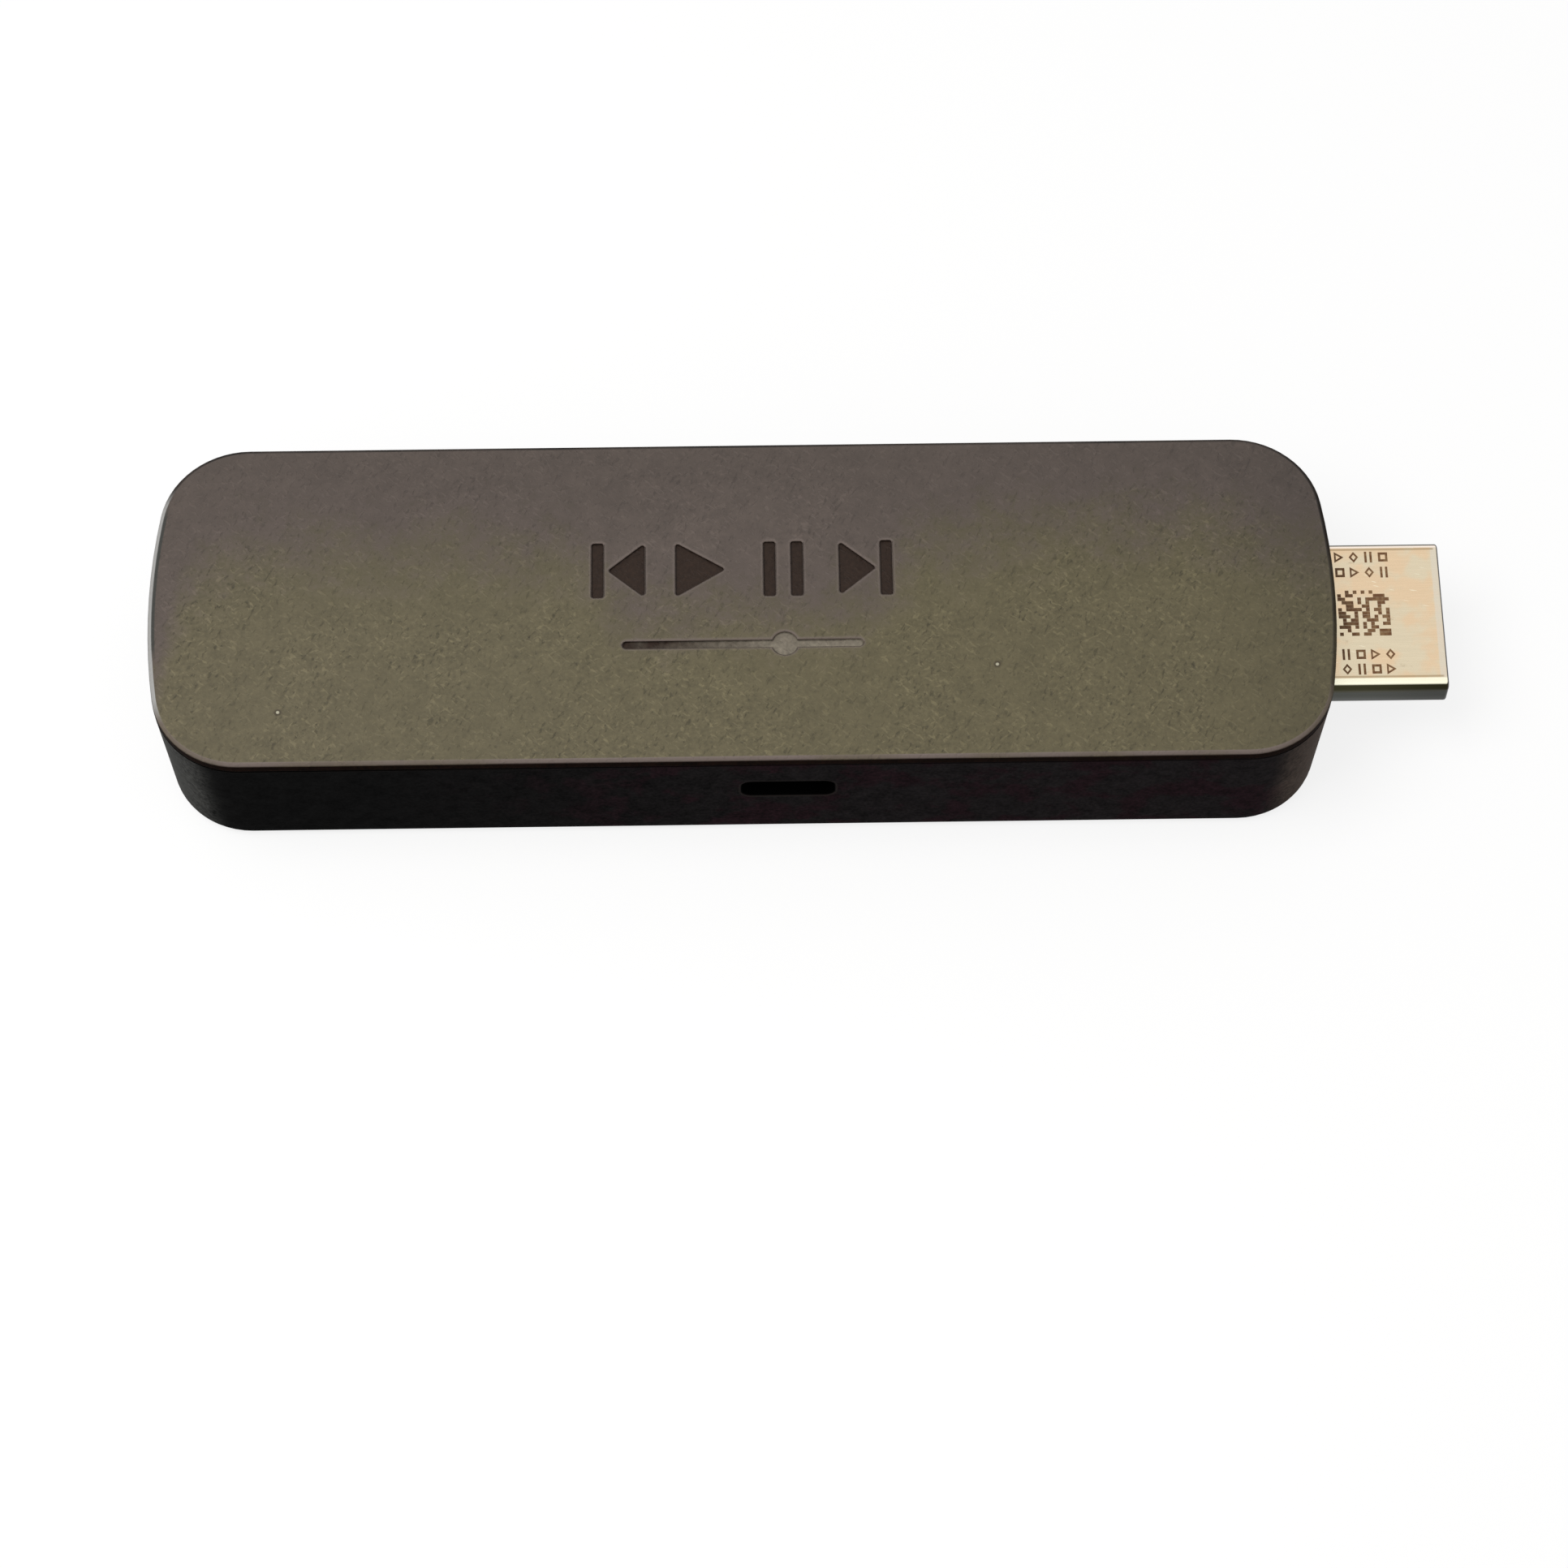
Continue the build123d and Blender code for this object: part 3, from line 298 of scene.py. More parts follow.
def makeCoverFinish(look):
    finish, tree, shader = startFinish("coverSheenFinish", shine=look["shine"])
    place = inMillimetres(tree)
    at = axes(tree, place)
    normal = surfaceNormal(tree)
    up = normal["Z"]
    fine = grain(tree, place, look["mottleSize"], 2.0, 0.6)
    finest = grain(tree, place, look["mottleSize"] / 3, 1.0)
    wide = grain(tree, place, 1.5, 2.0)

    # where the painted sheen turns from olive to mauve
    fromCentre = calc(tree, "ABSOLUTE", at["X"])
    change = plus(tree, at["Y"], swing(tree, grain(tree, place, 5.0, 2.0), look["lineWander"]),
                  swing(tree, wide, look["lineBreak"]), swing(tree, fine, look["lineFray"]),
                  step(tree, fromCentre, 16.0, 9.0, 0.0, look["mauveDip"]),
                  step(tree, at["X"], -42.0, -49.5, 0.0, look["mauveLeft"]),
                  step(tree, at["X"], -46.5, -49.0, 0.0, look["mauveLeftRim"]),
                  step(tree, at["X"], 36.0, 49.0, 0.0, look["mauveRight"]),
                  step(tree, at["X"], 12.0, 28.0, 0.0, -look["oliveRight"]))
    line, softness = look["mauveLine"], look["mauveSoftness"]
    mauve = step(tree, change, line - softness, line + softness)
    colour = mixed(tree, step(tree, at["X"], 20.0, -40.0), look["olive"], look["oliveLight"])
    colour = mixed(tree, mauve, colour, look["mauve"])

    # mottle, ragged flecks and a few hairlines, stronger in some places than in others
    lightFlecks = calc(tree, "MAXIMUM", makeFlecks(tree, place, 40, 0.58, 0.68),
                       makeFlecks(tree, place, -35, 0.6, 0.7))
    darkFlecks = makeFlecks(tree, place, -60, 0.41, 0.31)
    flecks = plus(tree, times(tree, lightFlecks, look["lightFlecks"]),
                  times(tree, darkFlecks, look["darkFlecks"]),
                  times(tree, makeHairlines(tree, place, 48), look["hairlines"]),
                  times(tree, makeHairlines(tree, place, -42), look["crossHairlines"]))
    small = plus(tree, swing(tree, fine, look["mottle"]),
                 swing(tree, finest, look["mottle"] * look["finestMottle"]), flecks)
    strong = step(tree, grain(tree, place, 8.0, 1.0), 0.4, 0.6, 0.75, 1.25)
    level = plus(tree, times(tree, small, strong, step(tree, mauve, 0.0, 1.0, 1.0, look["mauveCalm"])),
                 swing(tree, wide, look["mottle"] * look["widestMottle"]), 1.0)
    # painted light: darker towards the plug's end and the back edge, lighter at the front and behind the
    # marks
    behindMarks = times(tree, step(tree, fromCentre, 12.0, 3.0), band(tree, at["Y"], 5.5, 8.5, 3.0))
    level = times(tree, level, step(tree, at["X"], 36.0, 50.0, 1.0, look["endShade"]),
                  step(tree, at["Y"], -6.0, 17.0, look["frontShade"], look["backShade"]),
                  plus(tree, times(tree, behindMarks, look["glowBehindMarks"]), 1.0))
    colour = shaded(tree, colour, level)
    for x, y in look["dustPlaces"]:
        fromGrain = reach(tree, plus(tree, at["X"], -x), plus(tree, at["Y"], -y))
        colour = mixed(tree, step(tree, fromGrain, *look["dustRing"], 0.0, 0.6), colour, look["pressed"])
        colour = mixed(tree, step(tree, fromGrain, *look["dustEdge"]), colour, look["dust"])

    colour = paintRimLight(tree, look, colour, place, at, normal)

    # pressed marks: a painted highlight on the lip round dark floors, painted shade along their walls, and a
    # bar whose painted sheen turns lighter along its way
    nearMarks = times(tree, step(tree, fromCentre, 20.0, 19.0),
                      step(tree, calc(tree, "ABSOLUTE", at["Y"]), 9.0, 8.0))
    inMark = times(tree, step(tree, at["Z"], look["markFloor"] + 0.06, look["markFloor"]),
                   step(tree, at["Z"], 13.6, 13.7), step(tree, up, -0.3, -0.1), nearMarks)
    # painted highlight on the lip round the marks
    colour = mixed(tree, times(tree, nearSharpEdge(tree, 0.5), nearMarks), colour, look["rim"])
    # painted sheen along the bar
    inTrack = step(tree, at["Y"], look["trackBack"] + 0.1, look["trackBack"] - 0.1)
    alongTrack = plus(tree, step(tree, at["X"], -8.5, 6.0, 0.1, 0.9), swing(tree, wide, 0.3))
    markColour = mixed(tree, times(tree, inTrack, alongTrack), look["pressed"], look["pressedSheen"])
    # painted shade inside the marks close to their walls
    wallShade = times(tree, nearSharpEdge(tree, 0.25), -0.6)
    markColour = shaded(tree, markColour, plus(tree, swing(tree, fine, 0.35), wallShade, 1.0))
    colour = mixed(tree, inMark, colour, markColour)
    feed(tree, shader.inputs["Base Color"], colour)
    roughness = plus(tree, swing(tree, fine, 0.05), times(tree, inMark, -0.1), look["roughness"])
    feed(tree, shader.inputs["Roughness"], roughness)
    shine = times(tree, step(tree, up, 0.99, 0.9, look["shine"], look["rimShine"]),
                  step(tree, inMark, 0.0, 1.0, 1.0, 0.5))
    feed(tree, shader.inputs["Specular IOR Level"], shine)
    bumps = relief(tree, fine, 0.012)
    bumps = relief(tree, calc(tree, "SUBTRACT", lightFlecks, darkFlecks), 0.02, bumps)
    feed(tree, shader.inputs["Normal"], relief(tree, finest, 0.006, bumps))
    return finish


def leaveBare(node, height, bareFinish):
    # the walls below the olive sheen and everything that faces down stay bare plastic
    mesh = cadNodes[node].data
    mesh.materials.append(bareFinish)
    for face in mesh.polygons:
        if (face.normal.z < 0.1 and face.center.z < height * mm) or face.normal.z < -0.3:
            face.material_index = 1


dress(makeCoverFinish(coverLook), "top_cover")
print("top cover painted")


# Lower housing: near-black moulded plastic with a fine spark texture

housingLook = {
    "black": rgb(13, 13, 13),
    "blackPlugEnd": rgb(31, 28, 29),
    "lighterFrom": -40.0,
    "lighterTo": 25.0,
    "brown": rgb(36, 19, 25),
    "brownShare": 0.7,
    # painted sheen on the rounded corners
    "cornerSheenBrown": rgb(76, 66, 60),  # the rounded corners look a little lighter
    "cornerSheenGrey": rgb(72, 72, 70),
    "seamShade": rgb(22, 12, 8),
    "seamLow": 12.85,  # the bare strip of the cover starts here
    "worn": rgb(44, 40, 38),
    "wornEdge": 0.45,  # how much of the worn colour shows at sharp edges, in nicks and round the slot
    "nicks": 0.3,
    "wornSlot": 0.7,
    "textureSize": 0.3,
    "textureDepth": 0.01,
    "texture": 0.8,
    "blotches": 0.5,
    "sideCalm": 0.2,  # how much of the texture and the blotches shows on the ends and the back
    "roughness": 0.55,
    "shine": 0.004,
    "cornerFrom": 42.0,
    # painted shade inside the power slot
    "slotShade": rgb(4, 4, 4),
    "slotWidth": 7.74,  # the slot as it is cut in the solid
    "slotHeight": 2.7,
    "slotRadius": 0.9,
}


def makeSlotGap(tree, look, at):
    # how far a point of the front wall lies outside the power slot's outline
    low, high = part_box("socket_shell")
    across = calc(tree, "ABSOLUTE", plus(tree, at["X"], -(low[0] + high[0]) / 2 / mm))
    along = calc(tree, "ABSOLUTE", plus(tree, at["Z"], -(low[2] + high[2]) / 2 / mm))
    radius = look["slotRadius"]
    acrossCorner = calc(tree, "MAXIMUM", plus(tree, across, radius - look["slotWidth"] / 2), 0.0)
    alongCorner = calc(tree, "MAXIMUM", plus(tree, along, radius - look["slotHeight"] / 2), 0.0)
    return plus(tree, reach(tree, acrossCorner, alongCorner), -radius)


def makeHousingFinish(look):
    finish, tree, shader = startFinish("housingPlastic", shine=look["shine"])
    place = inMillimetres(tree)
    at = axes(tree, place)
    normal = surfaceNormal(tree)
    fine = grain(tree, place, look["textureSize"], 3.0, 0.6)
    blotch = grain(tree, place, 4.0, 3.0, 0.6)

    # black at the left, lighter and in patches brownish towards the plug, and with painted sheen round the
    # corners
    lighter = step(tree, at["X"], look["lighterFrom"], look["lighterTo"])
    colour = mixed(tree, lighter, look["black"], look["blackPlugEnd"])
    brownish = times(tree, step(tree, blotch, 0.48, 0.6), step(tree, at["X"], -30.0, 0.0), look["brownShare"])
    colour = mixed(tree, brownish, colour, look["brown"])
    towardsEnd = plus(tree, calc(tree, "ABSOLUTE", normal["X"]), swing(tree, blotch, 0.06))
    fromCentre = calc(tree, "ABSOLUTE", at["X"])
    cornerSheen = times(tree, step(tree, towardsEnd, 0.25, 0.7),
                     step(tree, fromCentre, look["cornerFrom"], look["cornerFrom"] + 3.0))
    ends = mixed(tree, step(tree, at["X"], -10.0, 10.0), look["cornerSheenGrey"], look["cornerSheenBrown"])
    colour = mixed(tree, cornerSheen, colour, ends)
    atSeam = step(tree, at["Z"], look["seamLow"], look["seamLow"] + 0.2)
    colour = mixed(tree, atSeam, colour, look["seamShade"])

    # the moulded texture, then rubbed edges and small nicks
    wide = grain(tree, place, 1.2, 2.0)
    spotted = times(tree, plus(tree, swing(tree, fine, look["texture"]), swing(tree, wide, look["blotches"])),
                    step(tree, at["X"], -10.0, 20.0, 1.3, 1.0),
                    step(tree, normal["Y"], -0.95, -0.5, 1.0, look["sideCalm"]))
    colour = shaded(tree, colour, plus(tree, spotted, 1.0))
    colour = mixed(tree, times(tree, nearSharpEdge(tree, 0.12), look["wornEdge"]), colour, look["worn"])
    nicks = times(tree, specks(tree, place, 2.2, 0.2, 0.1), look["nicks"])
    colour = mixed(tree, nicks, colour, look["worn"])

    # a worn line round the power slot, and painted shade inside it
    slotGap = makeSlotGap(tree, look, at)
    atFront = step(tree, at["Y"], -12.0, -12.5)
    slotRim = times(tree, band(tree, slotGap, 0.08, 0.2, 0.08), atFront, look["wornSlot"])
    colour = mixed(tree, slotRim, colour, look["worn"])
    colour = mixed(tree, times(tree, step(tree, slotGap, 0.1, 0.03), atFront), colour, look["slotShade"])
    feed(tree, shader.inputs["Base Color"], colour)
    feed(tree, shader.inputs["Roughness"], plus(tree, swing(tree, fine, 0.08), look["roughness"]))
    feed(tree, shader.inputs["Normal"], relief(tree, fine, look["textureDepth"]))
    return finish


housingPlastic = makeHousingFinish(housingLook)
dress(housingPlastic, "lower_housing")
leaveBare("top_cover", coverLook["bareBelow"], housingPlastic)
print("housing finished")


# Plug shell: rolled and plated sheet with a warm tint, drawn lengthwise, with painted highlights along its
# long edges and tip and painted shade on its sides and end face

plugLook = {
    "nickel": rgb(220, 200, 168),
    "nickelShare": 0.4,
    "warm": rgb(228, 198, 163),
    "pale": rgb(218, 208, 182),
    # painted highlights along the rolled long edges, with a painted dark line just inside; the front
    # highlight's colour also serves for the slanting scratches
    "edgeShine": rgb(253, 249, 224),
    "edgeShadeLine": rgb(158, 134, 100),
    "backShine": rgb(250, 236, 222),
    # painted highlight at the tip, and painted shade on its end face
    "tipHighlight": rgb(218, 210, 194),
    "tipShade": rgb(98, 95, 97),
    "tarnish": rgb(160, 140, 112),
    "stains": 0.5,
    "scratches": 0.6,
    "drawnLines": 0.05,  # how strong the fine lines are on the top and on the sides
    "sideLines": 0.12,
    # painted shade on the sides, from the top down to the foot
    "sideShadeTop": rgb(58, 56, 38),
    "sideShadeMiddle": rgb(62, 64, 58),
    "sideShadeFoot": rgb(98, 99, 98),
    "sideShadeTip": 0.53,  # the side gets darker towards the tip
    "roughness": 0.27,
    "frontLine": -5.92,  # where the painted dark line runs just inside each rolled long edge
    "backLine": 6.26,
    "lineWidth": 0.13,
    "tipHighlightBand": 0.6,
}


def makePlugFinish(look):
    finish, tree, shader = startFinish("platedSheet", metallic=1.0)
    place = inMillimetres(tree)
    at = axes(tree, place)
    normal = surfaceNormal(tree)
    up = normal["Z"]
    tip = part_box("plug_shell")[1][0] / mm
    drawn = grain(tree, stretched(tree, place, 0.16, 5.0, 5.0), 0.5, 3.0, 0.6)
    patches = grain(tree, place, 2.2, 2.0)

    # the top: warm and pale patches with fine lines, stains and slanting scratches, and a painted highlight
    # at the tip
    colour = mixed(tree, step(tree, patches, 0.4, 0.6), look["warm"], look["pale"])
    colour = mixed(tree, look["nickelShare"], colour, look["nickel"])
    colour = shaded(tree, colour, plus(tree, swing(tree, drawn, look["drawnLines"]), 1.0))
    stains = step(tree, grain(tree, stretched(tree, place, 0.8, 1.6, 1.0), 1.2, 3.0, 0.7), 0.64, 0.78)
    colour = mixed(tree, times(tree, stains, look["stains"]), colour, look["tarnish"])
    slanting = stretched(tree, turned(tree, place, 14), 0.6, 6.0, 1.0)
    scratches = step(tree, grain(tree, slanting, 1.0, 1.0), 0.7, 0.76)
    colour = mixed(tree, times(tree, scratches, look["scratches"]), colour, look["edgeShine"])
    tipHighlightBand = step(tree, at["X"], tip - look["tipHighlightBand"] - 0.15, tip - look["tipHighlightBand"])
    colour = mixed(tree, times(tree, tipHighlightBand, 0.7), colour, look["tipHighlight"])

    # along the rolled long edges a thin painted dark line, then a painted highlight strip, then the side in
    # painted shade
    halfLine = look["lineWidth"] / 2
    beforeTip = step(tree, at["X"], tip - 0.3, tip - 0.5)
    edges = (look["frontLine"], -0.1, look["edgeShine"]), (look["backLine"], 0.1, look["backShine"])
    for line, outer, shine in edges:
        shadeLine = band(tree, at["Y"], line - halfLine, line + halfLine, 0.05)
        colour = mixed(tree, times(tree, shadeLine, beforeTip, 0.65), colour, look["edgeShadeLine"])
        colour = mixed(tree, step(tree, at["Y"], line + outer, line + 2 * outer), colour, shine)
    side = mixed(tree, step(tree, at["Z"], 9.3, 8.9), look["sideShadeTop"], look["sideShadeMiddle"])
    side = mixed(tree, step(tree, at["Z"], 8.6, 7.0), side, look["sideShadeFoot"])
    side = shaded(tree, side, step(tree, at["X"], 51.0, tip, 1.0, look["sideShadeTip"]))
    side = shaded(tree, side, plus(tree, swing(tree, drawn, look["sideLines"]), 1.0))
    walls = step(tree, up, 0.95, 0.82)
    colour = mixed(tree, walls, colour, side)
    # painted shade on the end face at the tip
    endFace = step(tree, normal["X"], 0.5, 0.7)
    colour = mixed(tree, times(tree, endFace, 0.85), colour, look["tipShade"])
    feed(tree, shader.inputs["Base Color"], colour)
    roughness = plus(tree, swing(tree, drawn, 0.08), times(tree, walls, 0.12), look["roughness"])
    feed(tree, shader.inputs["Roughness"], roughness)
    feed(tree, shader.inputs["Normal"], relief(tree, drawn, 0.0007))
    return finish


dress(makePlugFinish(plugLook), "plug_shell")
print("plug shell plated")


# Marks burnt into the plug's top: two rows of plain signs, a block of cells, and two more rows of signs

etchingLook = {
    "brown": rgb(112, 76, 46),
    "brownLight": rgb(140, 108, 74),
    "left": 50.16,  # where the rows and the block start
    "signRows": (5.53, 4.06, -3.8, -5.2),  # how far each row lies from the plug's middle
    "signWidth": 0.8,
    "signHeight": 1.04,
    "signPitch": 1.24,
    "signHole": 0.5,  # how much of a sign is open
    "squareHeight": 0.85,  # the square is less high than the other signs
    "barPlace": 0.55,  # how far out the two bars stand, in half widths
    "barWidth": 0.5,
    "signCount": 4,
    "blockMiddle": 0.14,
    "blockCells": 13,
    "cellSize": 0.335,
    "cellGap": 0.02,
    "filled": 0.52,  # share of the block's cells that are burnt
    "seed": 11,
    "proud": 0.008,  # how far the marks stand above the sheet, and how far they go down into it
    "sunk": 0.01,
}


def addPlate(mesh, outline, low, high):
    # a thin plate with the outline's corners, given in millimetres and against the clock
    lower = [mesh.verts.new((x * mm, y * mm, low)) for x, y in outline]
    upper = [mesh.verts.new((x * mm, y * mm, high)) for x, y in outline]
    mesh.faces.new(upper)
    mesh.faces.new(lower[::-1])
    for index in range(len(outline)):
        after = (index + 1) % len(outline)
        mesh.faces.new((lower[index], lower[after], upper[after], upper[index]))


def addPad(mesh, x, y, width, height, low, high):
    # a rectangular plate round x and y
    left, right, front, back = x - width / 2, x + width / 2, y - height / 2, y + height / 2
    addPlate(mesh, [(left, front), (right, front), (right, back), (left, back)], low, high)


def addFrame(mesh, outline, hole, low, high):
    # a thin frame: the outline less a smaller copy of itself
    middleX = sum(x for x, y in outline) / len(outline)
    middleY = sum(y for x, y in outline) / len(outline)
    inner = [(middleX + (x - middleX) * hole, middleY + (y - middleY) * hole) for x, y in outline]
    rings = []
    for corners in (outline, inner):
        for height in (low, high):
            rings.append([mesh.verts.new((x * mm, y * mm, height)) for x, y in corners])
    outerLow, outerHigh, innerLow, innerHigh = rings
    sides = (outerLow, outerHigh), (outerHigh, innerHigh), (innerHigh, innerLow), (innerLow, outerLow)
    for index in range(len(outline)):
        after = (index + 1) % len(outline)
        for first, second in sides:
            mesh.faces.new((first[index], first[after], second[after], second[index]))


def addSign(mesh, look, kind, x, y, low, high):
    # a triangle to the right, a square, two bars, or a diamond
    halfWidth, halfHeight = look["signWidth"] / 2, look["signHeight"] / 2
    left, right, front, back = x - halfWidth, x + halfWidth, y - halfHeight, y + halfHeight
    if kind == 0:
        addFrame(mesh, [(left, front), (right, y), (left, back)], look["signHole"] * 0.9, low, high)
    elif kind == 1:
        front, back = y - halfHeight * look["squareHeight"], y + halfHeight * look["squareHeight"]
        square = [(left, front), (right, front), (right, back), (left, back)]
        addFrame(mesh, square, look["signHole"], low, high)
    elif kind == 2:
        for side in (-1, 1):
            middle = x + side * halfWidth * look["barPlace"]
            addPad(mesh, middle, y, halfWidth * look["barWidth"], look["signHeight"], low, high)
    else:
        addFrame(mesh, [(x, front), (right, y), (x, back), (left, y)], look["signHole"], low, high)


def addBlock(mesh, look, low, high):
    # neighbouring burnt cells of a line run together into one pad
    chance = random.Random(look["seed"])
    cells, size, gap = look["blockCells"], look["cellSize"], look["cellGap"]
    for line in range(cells):
        y = look["blockMiddle"] + (line - (cells - 1) / 2) * size
        burnt = [chance.random() < look["filled"] for column in range(cells)] + [False]
        first = None
        for column, dark in enumerate(burnt):
            if dark and first is None:
                first = column
            elif not dark and first is not None:
                x = look["left"] + (first + column) / 2 * size
                addPad(mesh, x, y, (column - first) * size - gap, size - gap, low, high)
                first = None


def makeEtching(look):
    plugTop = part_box("plug_shell")[1][2]
    low, high = plugTop - look["sunk"] * mm, plugTop + look["proud"] * mm
    mesh = bmesh.new()
    for row, y in enumerate(look["signRows"]):
        for index in range(look["signCount"]):
            x = look["left"] + look["signWidth"] / 2 + index * look["signPitch"]
            addSign(mesh, look, (index * 3 + row) % 4, x, y, low, high)
    addBlock(mesh, look, low, high)
    data = bpy.data.meshes.new("plug_etching")
    mesh.to_mesh(data)
    mesh.free()
    etching = bpy.data.objects.new("plug_etching", data)
    bpy.context.scene.collection.objects.link(etching)
    finish, tree, shader = startFinish("burntMetal", shine=0.3)
    place = inMillimetres(tree)
    patches = step(tree, grain(tree, place, 0.4, 2.0), 0.4, 0.65)
    feed(tree, shader.inputs["Base Color"], mixed(tree, patches, look["brown"], look["brownLight"]))
    feed(tree, shader.inputs["Roughness"], step(tree, grain(tree, place, 0.1), 0.3, 0.7, 0.45, 0.65))
    feed(tree, shader.inputs["Normal"], relief(tree, grain(tree, place, 0.08), 0.003))
    data.materials.append(finish)
    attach(etching, "root")


makeEtching(etchingLook)
print("plug etched")


# Plug insulator and socket insulator: black, glass filled

insulatorLook = {"black": rgb(24, 24, 25), "fibre": rgb(52, 52, 54), "roughness": 0.5}


def makeInsulatorFinish(look):
    finish, tree, shader = startFinish("glassFilledPlastic", shine=0.35)
    place = inMillimetres(tree)
    fibres = grain(tree, stretched(tree, place, 0.5, 3.0, 3.0), 0.35, 2.0)
    colour = mixed(tree, step(tree, fibres, 0.55, 0.75), look["black"], look["fibre"])
    colour = mixed(tree, times(tree, nearSharpEdge(tree, 0.06), 0.5), colour, look["fibre"])
    feed(tree, shader.inputs["Base Color"], colour)
    feed(tree, shader.inputs["Roughness"], plus(tree, swing(tree, fibres, 0.08), look["roughness"]))
    feed(tree, shader.inputs["Normal"], relief(tree, fibres, 0.004))
    return finish


dress(makeInsulatorFinish(insulatorLook), "plug_insulator", "socket_insulator")
print("insulators finished")


# Contacts: gold plated, their solder feet tinned

contactLook = {
    "gold": rgb(232, 198, 122),
    "goldDeep": rgb(206, 164, 84),
    "tin": rgb(200, 200, 196),
    "roughness": 0.24,
    "plugFoot": 1.5,  # length of the tinned feet
    "socketFoot": 0.9,
}


def makeContactFinish(look, name, node, footAxis, footEnd, footLength):
    # footEnd is 0 where the feet stand at the low end of their axis, and 1 at the high end
    finish, tree, shader = startFinish(name, metallic=1.0)
    place = inMillimetres(tree)
    streaks = grain(tree, rolled(tree, place, footAxis, 0.3, 4.0), 0.3, 2.0)
    colour = mixed(tree, step(tree, grain(tree, place, 0.7, 2.0), 0.35, 0.65), look["goldDeep"], look["gold"])
    colour = shaded(tree, colour, plus(tree, swing(tree, streaks, 0.06), 1.0))
    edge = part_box(node)[footEnd]["XYZ".index(footAxis)] / mm
    inner = edge + footLength if footEnd == 0 else edge - footLength
    foot = step(tree, axes(tree, place)[footAxis], inner, (inner + edge) / 2)
    colour = mixed(tree, foot, colour, look["tin"])
    feed(tree, shader.inputs["Base Color"], colour)
    roughness = plus(tree, swing(tree, streaks, 0.06), times(tree, foot, 0.12), look["roughness"])
    feed(tree, shader.inputs["Roughness"], roughness)
    feed(tree, shader.inputs["Normal"], relief(tree, streaks, 0.001))
    return finish


plugGold = makeContactFinish(contactLook, "plugContactGold", "plug_upper_contacts", "X", 0,
                             contactLook["plugFoot"])
socketGold = makeContactFinish(contactLook, "socketContactGold", "socket_contacts", "Y", 1,
                               contactLook["socketFoot"])
dress(plugGold, "plug_upper_contacts", "plug_lower_contacts")
dress(socketGold, "socket_contacts")
print("contacts plated")


# Stamped and rolled sheet: power socket, shield cans and antennas

sheetLooks = {
    "socketNickel": {"light": rgb(204, 204, 200), "dark": rgb(186, 186, 182), "roughness": 0.3, "roll": "Y",
                     "nodes": ("socket_shell",)},
    "shieldTinplate": {"light": rgb(208, 208, 204), "dark": rgb(186, 186, 182), "roughness": 0.36,
                       "roll": "X",
                       "nodes": ("processor_shield_frame", "processor_shield_lid", "radio_shield_frame",
                                 "radio_shield_lid", "power_shield_frame", "power_shield_lid")},
    "antennaBronze": {"light": rgb(216, 206, 190), "dark": rgb(190, 176, 156), "roughness": 0.3, "roll": "Y",
                      "nodes": ("back_antenna", "front_antenna")},
    "spreaderAluminium": {"light": rgb(224, 226, 228), "dark": rgb(204, 206, 209), "roughness": 0.38,
                          "roll": "X", "nodes": ("top_spreader", "bottom_spreader")},
}
wornMetal = (0.9, 0.9, 0.9, 1.0)


def makeSheetFinish(name, look):
    finish, tree, shader = startFinish(name, metallic=1.0)
    place = inMillimetres(tree)
    streaks = grain(tree, rolled(tree, place, look["roll"], 0.12, 5.0), 0.5, 3.0, 0.6)
    clouds = grain(tree, place, 2.4, 3.0)
    colour = mixed(tree, step(tree, clouds, 0.35, 0.65), look["dark"], look["light"])
    colour = shaded(tree, colour, plus(tree, swing(tree, streaks, 0.05), 1.0))
    colour = mixed(tree, times(tree, nearSharpEdge(tree, 0.08), 0.6), colour, wornMetal)
    feed(tree, shader.inputs["Base Color"], colour)
    roughness = plus(tree, swing(tree, streaks, 0.07), swing(tree, clouds, 0.04), look["roughness"])
    feed(tree, shader.inputs["Roughness"], roughness)
    feed(tree, shader.inputs["Normal"], relief(tree, streaks, 0.002))
    return finish


for sheetName, look in sheetLooks.items():
    dress(makeSheetFinish(sheetName, look), *look["nodes"])
print("sheet metal finished")


# Circuit board: green mask over copper tracks, tinned holes, and the bare laminate at its cut edges

boardLook = {
    "mask": rgb(20, 62, 42),
    "track": rgb(34, 88, 58),
    "laminate": rgb(168, 158, 104),
    "laminateDark": rgb(128, 118, 72),
    "via": rgb(196, 184, 140),
    "trackPitch": 0.7,
    "trackLength": 4.5,
    "roughness": 0.34,
}


def makeTracks(tree, place, look, degrees, shift):
    # straight tracks in one direction, only in patches, and the shift keeps the directions' patches apart
    sockets = {0: turned(tree, place, degrees), 1: (shift, shift, 0.0)}
    moved = addNode(tree, "VectorMath", sockets).outputs["Vector"]
    sockets = {"Vector": moved, "Scale": 1.0, "Mortar Size": 0.07, "Mortar Smooth": 0.3,
               "Brick Width": look["trackLength"], "Row Height": look["trackPitch"]}
    lines = addNode(tree, "TexBrick", sockets, offset=0.37, offset_frequency=2).outputs["Fac"]
    return times(tree, lines, step(tree, grain(tree, moved, 5.0, 1.0), 0.5, 0.53))


